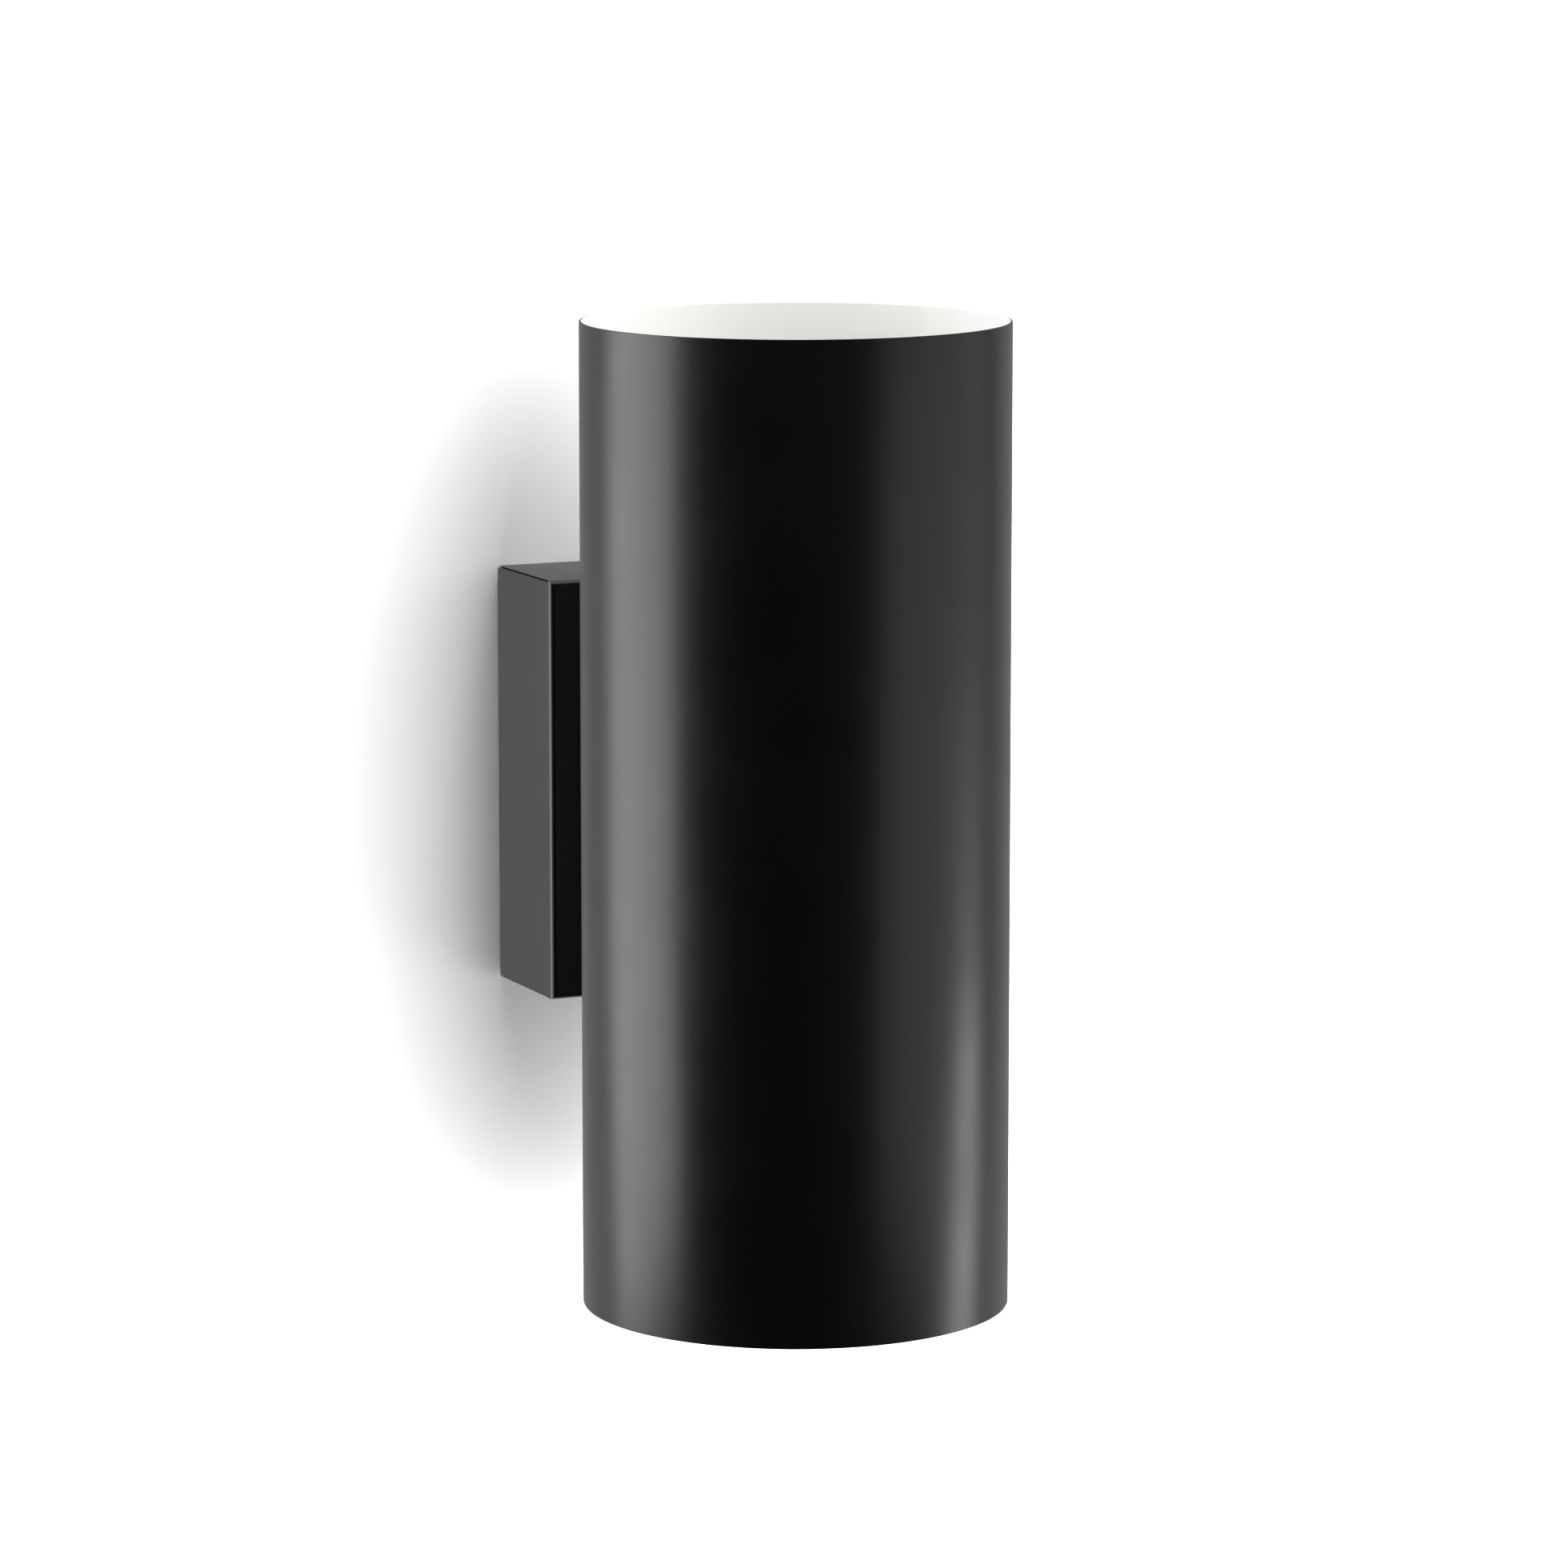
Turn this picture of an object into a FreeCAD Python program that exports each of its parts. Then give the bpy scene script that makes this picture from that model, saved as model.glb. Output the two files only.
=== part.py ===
import FreeCAD, Part
import math
import os

# A tube wall light: an upright tube, open at both ends, that a small folded box holds off the wall.
# One lamp stands up and one hangs down inside the tube.
# All sizes are in millimetres. X runs right along the wall, Y runs into the wall and Z runs up.
# The origin is the middle of the wall bracket's back face, which lies on the wall at y = 0.

# Tube
tube_outer_radius = 55.0
tube_wall = 1.2
tube_height = 254.0

# Canopy, the folded sheet box over the wall bracket
canopy_width = 86.0
canopy_height = 111.0
canopy_depth = 37.5
canopy_sheet = 1.2
canopy_bend_radius = 1.6
canopy_corner_seam = 0.3
mitre_angle = 45.0
canopy_wall_gap = 0.5

# Saddle, the spacer between the canopy's flat front and the round tube
saddle_thickness = 5.0
saddle_width = 26.0
saddle_height = 60.0
saddle_corner_radius = 3.0

# Wall bracket
bracket_sheet = 1.5
bracket_bend_radius = 2.5
bracket_side_room = 6.8
bracket_shoulder = 5.0
lug_width = 24.0
lug_depth = 14.0
lug_play = 0.3
wall_slot_width = 4.5
wall_slot_length = 12.0
wall_slots_across = 52.0
wall_slots_upright = 72.0

# Cable grommet in the middle of the wall bracket
grommet_hole_radius = 9.0
grommet_bore_radius = 5.0
grommet_flange_radius = 11.5
grommet_flange = 2.0

# Lock screws, which pass through slots in the canopy into nuts on the bracket's lugs
lock_screw_from_wall = 8.0
lock_screw_length = 8.0
lock_nut_radius = 4.2
lock_nut_height = 3.5
slot_play = 0.3

# Common screw sizes
m4_radius = 2.0
m4_head_radius = 3.9
m4_head_height = 2.4
m3_radius = 1.5
m3_head_radius = 2.4
m3_head_height = 1.8
clearance_hole_play = 0.25
thread_play = 0.05
part_play = 0.05
recess_width = 0.9
recess_depth_share = 0.55
recess_span_share = 1.1
washer_radius = 4.3
washer_thickness = 1.0

# Lampholder bracket, a steel strip folded to a C inside the tube
strip_width = 26.0
strip_sheet = 2.0
strip_bend_radius = 3.0
strip_pad_radius = 18.0
holder_seat_height = 24.0
tube_screw_height = 14.0
tube_screw_length = 18.0
press_nut_radius = 4.4
press_nut_height = 4.0

# Wire bush through the strip, the tube, the saddle and the canopy
bush_radius = 5.0
bush_bore_radius = 3.9
bush_flange_radius = 7.5
bush_flange = 1.5
bush_barb = 0.6
bush_tip = 1.5

# Lampholder for a 27 mm screw cap
holder_base_radius = 21.0
holder_base_height = 11.0
holder_body_radius = 19.0
holder_height = 37.0
holder_bore_radius = 15.2
holder_floor = 10.0
holder_screw_spacing = 24.0
holder_screw_length = 10.0
holder_screw_hole_spare = 0.5
neutral_entry_x = 12.0
live_entry_x = -7.0
wire_entry_play = 0.3
terminal_screw_height = 5.0
terminal_head_recess = 2.6
spring_width = 6.0
spring_sheet = 0.5
spring_foot_end_x = -9.6
spring_heel_x = -4.5
spring_toe_x = -2.0
spring_tip_x = 4.5
spring_rise = 3.2

# Screw cap and holder shell, after the common 27 mm screw cap
thread_pitch = 3.629
cap_crest_radius = 13.1
thread_half_depth = 0.45
cap_turns = 5
cap_sheet = 0.4
cap_collar = 2.0
shell_turns = 6
shell_clearance = 0.35
shell_sheet = 0.4
shell_foot_radius = 11.0

# Lamp: an opal mini globe on a screw cap
lamp_length = 78.0
globe_radius = 22.5
globe_wall = 1.0
lamp_contact_radius = 4.8
lamp_contact_height = 1.2
lamp_insulator_height = 3.1
lamp_insulator_edge = 1.2
lamp_insulator_lip = 1.0
lamp_neck_radius = 13.6
lamp_housing_radius = 17.0
lamp_housing_wall = 1.5
lamp_globe_lip = 0.15
lamp_board_radius = 14.5
lamp_board_thickness = 1.6
contact_gap = 0.3

# Terminal block on the canopy's inner face, with three poles one above the other
block_width = 22.0
block_depth = 15.0
block_height = 36.0
block_edge_gap = 3.0
block_corner_radius = 1.0
pole_pitch = 12.0
pole_from_face = 8.25
insert_radius = 3.4
insert_bore_radius = 2.4
insert_end_gap = 2.0
clamp_screw_spacing = 10.0
clamp_screw_hole_play = 0.2
stud_hole_play = 0.2
stud_length = 18.0
m3_nut_across = 5.5
m3_nut_height = 2.4

# Earth stud on the canopy's inner face
earth_stud_from_side = 19.8
earth_stud_from_bottom = 24.3
earth_stud_length = 10.0
earth_washer_thickness = 0.8
ring_radius = 4.0
ring_sheet = 0.8
crimp_radius = 1.6
crimp_length = 6.0
crimp_start = 3.6
m4_nut_across = 7.0
m4_nut_height = 3.2

# Inner wires
wire_radius = 1.0
wire_pair_offset = 1.3
wire_in_pole = 7.0
run_share = 0.45
wire_turn_height = 5.0
wire_gather_from_axis = 37.5
live_turn_from_face = 9.8
neutral_turn_from_face = 6.7
block_approach = 2.0
earth_first_run = 8.5
earth_approach = 8.0
wire_end_gap = 0.1

# Places that follow from the sizes above
x_axis = FreeCAD.Vector(1, 0, 0)
y_axis = FreeCAD.Vector(0, 1, 0)
z_axis = FreeCAD.Vector(0, 0, 1)
tube_inner_radius = tube_outer_radius - tube_wall
tube_axis_y = -(canopy_depth + saddle_thickness + tube_outer_radius)
canopy_face_y = -canopy_depth
canopy_inner_y = canopy_face_y + canopy_sheet
canopy_half_width = canopy_width / 2
canopy_half_height = canopy_height / 2
canopy_inner_half_width = canopy_half_width - canopy_sheet
canopy_inner_half_height = canopy_half_height - canopy_sheet
lug_outer_z = canopy_inner_half_height - lug_play
lug_inner_z = lug_outer_z - bracket_sheet
lock_screw_y = -lock_screw_from_wall
strip_back_y = tube_axis_y + math.sqrt(tube_inner_radius ** 2 - (strip_width / 2) ** 2) - part_play
strip_face_y = strip_back_y - strip_sheet
m4_hole_radius = m4_radius + clearance_hole_play
bush_hole_radius = bush_radius + part_play
cap_mean_radius = cap_crest_radius - thread_half_depth
shell_mean_radius = cap_crest_radius + shell_clearance + thread_half_depth
lamp_foot_z = holder_seat_height + holder_floor + spring_rise + spring_sheet + contact_gap
pole_y = canopy_inner_y + pole_from_face
block_middle_x = canopy_inner_half_width - block_edge_gap - block_width / 2
block_left_x = block_middle_x - block_width / 2
pole_heights = [pole_pitch, 0.0, -pole_pitch]
earth_stud_x = -(canopy_inner_half_width - earth_stud_from_side)
earth_stud_z = -(canopy_inner_half_height - earth_stud_from_bottom)
cut_spare = 1.0
parallel_limit = 0.01
half_turn = 180
full_turn = 360


def at(x, y, z):
    """A point."""
    return FreeCAD.Vector(x, y, z)


def block(x_low, x_high, y_low, y_high, z_low, z_high):
    """A box between a low and a high value on each axis."""
    return Part.makeBox(x_high - x_low, y_high - y_low, z_high - z_low, at(x_low, y_low, z_low))


def rod(radius, start, end):
    """A round bar from one point to another."""
    return Part.makeCylinder(radius, (end - start).Length, start, end - start)


def turned(outline):
    """A solid turned about Z from an outline of (radius, height) points."""
    corners = [at(radius, 0, height) for radius, height in outline]
    face = Part.Face(Part.makePolygon(corners + corners[:1]))
    return face.revolve(at(0, 0, 0), z_axis, full_turn)


def placed(shape, base, up):
    """A copy of a shape with its own Z turned to the direction up and its origin moved to base."""
    copy = shape.copy()
    copy.Placement = FreeCAD.Placement(base, FreeCAD.Rotation(z_axis, up)).multiply(copy.Placement)
    return copy


def turned_over(shape):
    """The same part for the lower end: turned half a turn about the level line across the tube's middle."""
    copy = shape.copy()
    copy.rotate(at(0, tube_axis_y, 0), x_axis, half_turn)
    return copy


def edges_along(shape, direction, keep):
    """The straight edges that run along a direction and whose middle passes the test keep."""
    chosen = []
    for edge in shape.Edges:
        if not isinstance(edge.Curve, Part.Line):
            continue
        along = edge.tangentAt(edge.FirstParameter)
        is_parallel = along.cross(direction).Length < parallel_limit
        if is_parallel and keep(edge.CenterOfMass):
            chosen.append(edge)
    return chosen


def screw(radius, length, head_radius, head_height):
    """A pan head screw with a cross recess. The head stands on z = 0 and the shank hangs below it."""
    shank = Part.makeCylinder(radius, length, at(0, 0, -length))
    head = Part.makeCylinder(head_radius, head_height)
    rim = [edge for edge in head.Edges if edge.CenterOfMass.z > head_height - part_play and edge.Closed]
    head = head.makeFillet(head_height / 2, rim[:1])
    span = head_radius * recess_span_share / 2
    half = recess_width / 2
    floor = head_height * (1 - recess_depth_share)
    recess = block(-span, span, -half, half, floor, head_height + cut_spare)
    recess = recess.fuse(block(-half, half, -span, span, floor, head_height + cut_spare))
    return shank.fuse(head).cut(recess).removeSplitter()


def slotted_screw(radius, length, head_radius, head_height):
    """A cheese head screw with one slot. The head stands on z = 0 and the shank hangs below it."""
    shank = Part.makeCylinder(radius, length, at(0, 0, -length))
    head = Part.makeCylinder(head_radius, head_height)
    half = recess_width / 2
    floor = head_height * (1 - recess_depth_share)
    slot = block(-head_radius, head_radius, -half, half, floor, head_height + cut_spare)
    return shank.fuse(head).cut(slot).removeSplitter()


def hexagon_nut(across, height, bore_radius):
    """A hexagon nut that stands on z = 0."""
    corner = across / math.sqrt(3)
    turns = [side * math.pi / 3 for side in range(6)]
    corners = [at(corner * math.cos(turn), corner * math.sin(turn), 0) for turn in turns]
    face = Part.Face(Part.makePolygon(corners + corners[:1]))
    return face.extrude(z_axis * height).cut(Part.makeCylinder(bore_radius, height))


def washer(outer_radius, inner_radius, thickness):
    """A flat washer that lies on z = 0."""
    return Part.makeCylinder(outer_radius, thickness).cut(Part.makeCylinder(inner_radius, thickness))


# ---- Wall side: bracket, nuts, grommet and lock screws


def bracket_slot(middle, along):
    """The cutter for one wall screw slot: two round ends and the straight stretch between them."""
    reach = along * ((wall_slot_length - wall_slot_width) / 2)
    depth = y_axis * bracket_sheet
    radius = wall_slot_width / 2
    across = along.cross(y_axis) * radius
    ends = [middle - reach, middle + reach]
    outline = [ends[0] - across, ends[1] - across, ends[1] + across, ends[0] + across]
    face = Part.Face(Part.makePolygon(outline + outline[:1]))
    cutter = face.extrude(depth * -1)
    for end in ends:
        cutter = cutter.fuse(rod(radius, end, end - depth))
    return cutter


def wall_bracket():
    """A zinc plated steel plate with a lug folded forward at its top and at its bottom."""
    half_width = canopy_inner_half_width - bracket_side_room
    outside = block(-half_width, half_width, -lug_depth, 0, -lug_outer_z, lug_outer_z)
    outside = outside.makeFillet(
        bracket_bend_radius, edges_along(outside, x_axis, lambda middle: middle.y > -part_play))
    inside = block(-half_width - cut_spare, half_width + cut_spare, -lug_depth - cut_spare, -bracket_sheet,
                   -lug_inner_z, lug_inner_z)
    bend_inside = bracket_bend_radius - bracket_sheet
    inside = inside.makeFillet(
        bend_inside, edges_along(inside, x_axis, lambda middle: middle.y > -bracket_sheet - part_play))
    bracket = outside.cut(inside)
    shoulder_z = lug_outer_z - bracket_shoulder
    for side in (-1, 1):
        for end in (-1, 1):
            x_ends = sorted([side * lug_width / 2, side * (half_width + cut_spare)])
            z_ends = sorted([end * shoulder_z, end * (lug_outer_z + cut_spare)])
            bracket = bracket.cut(block(*x_ends, -lug_depth - cut_spare, cut_spare, *z_ends))
        bracket = bracket.cut(bracket_slot(at(side * wall_slots_across / 2, 0, 0), x_axis))
        bracket = bracket.cut(bracket_slot(at(0, 0, side * wall_slots_upright / 2), z_axis))
        screw_hole = rod(m4_hole_radius, at(0, lock_screw_y, side * lug_inner_z),
                         at(0, lock_screw_y, side * lug_outer_z))
        bracket = bracket.cut(screw_hole)
    return bracket.cut(rod(grommet_hole_radius, at(0, 0, 0), at(0, -bracket_sheet, 0)))


def lock_nuts():
    """Two round press nuts, one on the inner face of each lug."""
    nut = washer(lock_nut_radius, m4_radius + thread_play, lock_nut_height)
    top = placed(nut, at(0, lock_screw_y, lug_inner_z - lock_nut_height), z_axis)
    bottom = placed(nut, at(0, lock_screw_y, -lug_inner_z), z_axis)
    return [top, bottom]


def cable_grommet():
    """A rubber grommet pushed into the bracket from the front, flush with the wall face."""
    barrel_radius = grommet_hole_radius - part_play
    grommet = turned([
        (grommet_bore_radius, 0),
        (barrel_radius, 0),
        (barrel_radius, bracket_sheet),
        (grommet_flange_radius, bracket_sheet),
        (grommet_flange_radius, bracket_sheet + grommet_flange / 2),
        (grommet_flange_radius - grommet_flange / 2, bracket_sheet + grommet_flange),
        (grommet_bore_radius, bracket_sheet + grommet_flange),
    ])
    return placed(grommet, at(0, 0, 0), y_axis * -1)


def lock_screw(end):
    """An M4 lock screw whose head sits on the canopy's top (end = 1) or bottom (end = -1)."""
    pin = screw(m4_radius, lock_screw_length, m4_head_radius, m4_head_height)
    return placed(pin, at(0, lock_screw_y, end * canopy_half_height), z_axis * end)


# ---- Canopy, saddle and tube


def canopy_box(half_width, half_height, front_y, bend_radius):
    """A box that is open to the wall side, with its four front edges rounded as a fold rounds them."""
    shape = block(-half_width, half_width, front_y, -canopy_wall_gap, -half_height, half_height)
    is_front = lambda middle: abs(middle.y - front_y) < part_play
    front_edges = edges_along(shape, x_axis, is_front) + edges_along(shape, z_axis, is_front)
    return shape.makeFillet(bend_radius, front_edges)


def canopy():
    """Folded steel sheet: a front and four sides, with open seams between the sides at the corners."""
    outside = canopy_box(canopy_half_width, canopy_half_height, canopy_face_y, canopy_bend_radius)
    inside = canopy_box(canopy_inner_half_width, canopy_inner_half_height, canopy_inner_y,
                        canopy_bend_radius - canopy_sheet)
    shell = outside.cut(inside)
    seam_start_y = canopy_face_y + canopy_bend_radius
    seam_reach = 2 * canopy_sheet
    seam_half = canopy_corner_seam / 2
    for side in (-1, 1):
        for end in (-1, 1):
            seam = block(-seam_reach, seam_reach, seam_start_y, 0, -seam_half, seam_half)
            seam.rotate(at(0, 0, 0), y_axis, -side * end * mitre_angle)
            seam.translate(at(side * (canopy_half_width - canopy_sheet / 2), 0,
                              end * (canopy_half_height - canopy_sheet / 2)))
            shell = shell.cut(seam)
    slot_radius = m4_radius + slot_play
    for end in (-1, 1):
        z_ends = [end * (canopy_inner_half_height - part_play), end * (canopy_half_height + cut_spare)]
        z_ends.sort()
        shell = shell.cut(block(-slot_radius, slot_radius, lock_screw_y, 0, *z_ends))
        shell = shell.cut(rod(slot_radius, at(0, lock_screw_y, z_ends[0]), at(0, lock_screw_y, z_ends[1])))
    return through_front(shell)


def through_front(shape):
    """Cuts the two tube screw holes and the wire bush hole, which pass from the canopy into the tube."""
    near_y = canopy_inner_y + cut_spare
    far_y = strip_face_y - cut_spare
    for end in (-1, 1):
        shape = shape.cut(rod(m4_hole_radius, at(0, near_y, end * tube_screw_height),
                              at(0, far_y, end * tube_screw_height)))
    return shape.cut(rod(bush_hole_radius, at(0, near_y, 0), at(0, far_y, 0)))


def saddle():
    """A cast spacer, flat against the canopy and hollowed to the tube's radius."""
    half_width = saddle_width / 2
    half_height = saddle_height / 2
    spacer = block(-half_width, half_width, tube_axis_y, canopy_face_y, -half_height, half_height)
    spacer = spacer.makeFillet(saddle_corner_radius, edges_along(spacer, y_axis, lambda middle: True))
    hollow = Part.makeCylinder(tube_outer_radius + part_play, saddle_height + 2 * cut_spare,
                               at(0, tube_axis_y, -half_height - cut_spare))
    return through_front(spacer.cut(hollow))


def tube():
    """A thin metal tube, open at both ends."""
    foot = at(0, tube_axis_y, -tube_height / 2)
    outside = Part.makeCylinder(tube_outer_radius, tube_height, foot)
    inside = Part.makeCylinder(tube_inner_radius, tube_height, foot)
    return through_front(outside.cut(inside))


# ---- Inside the tube: bracket, its nuts and screws, and the wire bush


def lampholder_bracket():
    """A steel strip folded to a C. Its back lies in the tube and each arm ends in a round pad."""
    half_width = strip_width / 2
    outside = block(-half_width, half_width, tube_axis_y, strip_back_y,
                    -holder_seat_height, holder_seat_height)
    outside = outside.makeFillet(
        strip_bend_radius, edges_along(outside, x_axis, lambda middle: middle.y > strip_back_y - part_play))
    inner_z = holder_seat_height - strip_sheet
    inside = block(-half_width - cut_spare, half_width + cut_spare, tube_axis_y - cut_spare, strip_face_y,
                   -inner_z, inner_z)
    inside = inside.makeFillet(
        strip_bend_radius - strip_sheet,
        edges_along(inside, x_axis, lambda middle: middle.y > strip_face_y - part_play))
    strip = outside.cut(inside)
    for end in (-1, 1):
        low_z = min(end * inner_z, end * holder_seat_height)
        strip = strip.fuse(Part.makeCylinder(strip_pad_radius, strip_sheet, at(0, tube_axis_y, low_z)))
    for x in (live_entry_x, neutral_entry_x):
        strip = strip.cut(holder_hole(wire_radius + 2 * wire_entry_play, x, 0))
    for y in (-holder_screw_spacing / 2, holder_screw_spacing / 2):
        strip = strip.cut(holder_hole(m4_hole_radius, 0, y))
    return through_front(strip.removeSplitter())


def holder_hole(radius, x, y):
    """The cutter for a hole through both arms, placed from the tube's axis."""
    reach = holder_seat_height + cut_spare
    return rod(radius, at(x, tube_axis_y + y, -reach), at(x, tube_axis_y + y, reach))


def press_nuts():
    """Two press nuts on the strip's inner face, for the tube screws."""
    nut = washer(press_nut_radius, m4_radius + thread_play, press_nut_height)
    return [placed(nut, at(0, strip_face_y, end * tube_screw_height), y_axis * -1) for end in (-1, 1)]


def tube_screws():
    """Two M4 screws, driven from inside the canopy."""
    pin = screw(m4_radius, tube_screw_length, m4_head_radius, m4_head_height)
    seat_y = canopy_inner_y + washer_thickness
    return [placed(pin, at(0, seat_y, end * tube_screw_height), y_axis) for end in (-1, 1)]


def tube_washers():
    """A washer under each tube screw's head."""
    ring = washer(washer_radius, m4_hole_radius, washer_thickness)
    return [placed(ring, at(0, canopy_inner_y, end * tube_screw_height), y_axis) for end in (-1, 1)]


def wire_bush():
    """A nylon bush, flanged inside the tube and barbed where it comes out in the canopy."""
    through = canopy_inner_y - strip_face_y
    tip = through + bush_tip
    bush = turned([
        (bush_bore_radius, -bush_flange),
        (bush_flange_radius, -bush_flange),
        (bush_flange_radius, 0),
        (bush_radius, 0),
        (bush_radius, through + part_play),
        (bush_radius + bush_barb, through + part_play),
        (bush_radius, tip),
        (bush_bore_radius, tip),
    ])
    return placed(bush, at(0, strip_face_y, 0), y_axis)


# ---- Lampholders


def holder_body():
    """A moulded lampholder on its seat, with a deep bore for the shell and a thick floor."""
    body = turned([
        (0, 0),
        (holder_base_radius, 0),
        (holder_base_radius, holder_base_height),
        (holder_body_radius, holder_base_height + holder_base_radius - holder_body_radius),
        (holder_body_radius, holder_height),
        (holder_bore_radius, holder_height),
        (holder_bore_radius, holder_floor),
        (0, holder_floor),
    ])
    screw_hole_depth = holder_screw_length - strip_sheet + holder_screw_hole_spare
    for y in (-holder_screw_spacing / 2, holder_screw_spacing / 2):
        body = body.cut(rod(m4_radius + thread_play, at(0, y, 0), at(0, y, screw_hole_depth)))
    for x in (live_entry_x, neutral_entry_x):
        side = math.copysign(1, x)
        head_seat_x = side * (holder_base_radius - terminal_head_recess)
        outside_x = side * (holder_base_radius + cut_spare)
        body = body.cut(rod(wire_radius + wire_entry_play, at(x, 0, 0), at(x, 0, holder_floor)))
        body = body.cut(rod(m3_radius + thread_play, at(x, 0, terminal_screw_height),
                            at(outside_x, 0, terminal_screw_height)))
        body = body.cut(rod(m3_head_radius + clearance_hole_play, at(head_seat_x, 0, terminal_screw_height),
                            at(outside_x, 0, terminal_screw_height)))
    return placed(body, at(0, tube_axis_y, holder_seat_height), z_axis)


def thread_wave(radius, low_z, turns):
    """A wavy line up a screw shell, as arcs that swing in and out about a mean radius."""
    edges = []
    for half_wave in range(2 * turns):
        swing = thread_half_depth if half_wave % 2 else -thread_half_depth
        start_z = low_z + half_wave * thread_pitch / 2
        start = at(radius, 0, start_z)
        middle = at(radius + swing, 0, start_z + thread_pitch / 4)
        end = at(radius, 0, start_z + thread_pitch / 2)
        edges.append(Part.Arc(start, middle, end).toShape())
    return edges


def waved_shell(mean_radius, sheet, low_z, turns, foot, head):
    """A turned screw shell. foot and head are the outline's points below and above the waves."""
    top_z = low_z + turns * thread_pitch
    edges = thread_wave(mean_radius, low_z, turns) + thread_wave(mean_radius - sheet, low_z, turns)
    lower = [(mean_radius - sheet, low_z)] + foot + [(mean_radius, low_z)]
    upper = [(mean_radius - sheet, top_z)] + head + [(mean_radius, top_z)]
    for outline in (lower, upper):
        for start, end in zip(outline, outline[1:]):
            edges.append(Part.makeLine(at(start[0], 0, start[1]), at(end[0], 0, end[1])))
    face = Part.Face(Part.Wire(Part.__sortEdges__(edges)))
    return face.revolve(at(0, 0, 0), z_axis, full_turn)


def holder_shell():
    """The threaded brass shell. Its foot is an inward ring on the holder's floor."""
    outer_mean = shell_mean_radius + shell_sheet
    foot = [
        (shell_mean_radius, shell_sheet),
        (shell_foot_radius, shell_sheet),
        (shell_foot_radius, 0),
        (outer_mean, 0),
    ]
    shell = waved_shell(outer_mean, shell_sheet, 2 * shell_sheet, shell_turns, foot, [])
    return placed(shell, at(0, tube_axis_y, holder_seat_height + holder_floor), z_axis)


def holder_spring():
    """The centre contact: a bronze strip with its foot on the live wire's hole and its tip raised."""
    under = [
        (spring_foot_end_x, 0),
        (spring_heel_x, 0),
        (spring_toe_x, spring_rise),
        (spring_tip_x, spring_rise),
    ]
    over = [(x, z + spring_sheet) for x, z in reversed(under)]
    corners = [at(x, -spring_width / 2, z) for x, z in under + over]
    strip = Part.Face(Part.makePolygon(corners + corners[:1])).extrude(y_axis * spring_width)
    return placed(strip, at(0, tube_axis_y, holder_seat_height + holder_floor), z_axis)


def holder_terminal_screws():
    """The two M3 screws in the holder's base that clamp the live and the neutral wire."""
    screws = []
    seat_z = holder_seat_height + terminal_screw_height
    for x in (live_entry_x, neutral_entry_x):
        side = math.copysign(1, x)
        seat_x = holder_base_radius - terminal_head_recess
        length = seat_x - abs(x) - wire_radius - wire_end_gap
        pin = slotted_screw(m3_radius, length, m3_head_radius, m3_head_height)
        screws.append(placed(pin, at(side * seat_x, tube_axis_y, seat_z), x_axis * side))
    return screws


def holder_fixing_screws():
    """The two M4 screws that come up through the arm into the holder's base."""
    pin = screw(m4_radius, holder_screw_length, m4_head_radius, m4_head_height)
    head_z = holder_seat_height - strip_sheet
    places = [tube_axis_y - holder_screw_spacing / 2, tube_axis_y + holder_screw_spacing / 2]
    return [placed(pin, at(0, y, head_z), z_axis * -1) for y in places]


# ---- Lamps


lamp_insulator_z = lamp_contact_height
cap_low_z = lamp_insulator_z + lamp_insulator_height
cap_high_z = cap_low_z + cap_turns * thread_pitch + cap_collar
globe_middle_z = lamp_length - globe_radius
globe_foot_radius = lamp_housing_radius + lamp_globe_lip
housing_top_z = globe_middle_z - math.sqrt(globe_radius ** 2 - globe_foot_radius ** 2)
cap_inner_radius = cap_mean_radius - cap_sheet - thread_half_depth


def on_lamp_foot(shape):
    """A lamp piece built up from the lamp's own contact, moved to where the lamp sits in its holder."""
    return placed(shape, at(0, tube_axis_y, lamp_foot_z), z_axis)


def lamp_contact():
    """The tinned centre contact."""
    return on_lamp_foot(turned([
        (0, 0),
        (lamp_contact_radius - lamp_contact_height / 2, 0),
        (lamp_contact_radius, lamp_contact_height / 2),
        (lamp_contact_radius, lamp_contact_height),
        (0, lamp_contact_height),
    ]))


def lamp_insulator():
    """The black glass cone between the contact and the cap."""
    edge_radius = cap_inner_radius - part_play
    return on_lamp_foot(turned([
        (0, lamp_insulator_z),
        (lamp_contact_radius + lamp_insulator_lip, lamp_insulator_z),
        (edge_radius, cap_low_z),
        (edge_radius, cap_low_z + lamp_insulator_edge),
        (0, cap_low_z + lamp_insulator_edge),
    ]))


def lamp_cap():
    """The nickel plated screw cap, with a plain collar above its thread."""
    collar = [(cap_mean_radius - cap_sheet, cap_high_z), (cap_mean_radius, cap_high_z)]
    return on_lamp_foot(waved_shell(cap_mean_radius, cap_sheet, cap_low_z, cap_turns, [], collar))


def lamp_housing():
    """The white moulded neck: a hollow flare whose lower end plugs into the cap's collar."""
    plug_radius = cap_mean_radius - cap_sheet - part_play
    inner_foot = plug_radius - lamp_housing_wall
    inner_head = lamp_housing_radius - lamp_housing_wall
    return on_lamp_foot(turned([
        (inner_foot, cap_high_z - cap_collar),
        (plug_radius, cap_high_z - cap_collar),
        (plug_radius, cap_high_z),
        (lamp_neck_radius, cap_high_z),
        (lamp_housing_radius, housing_top_z),
        (0, housing_top_z),
        (0, housing_top_z - lamp_housing_wall),
        (inner_head, housing_top_z - lamp_housing_wall),
        (inner_foot, cap_high_z),
    ]))


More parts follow.
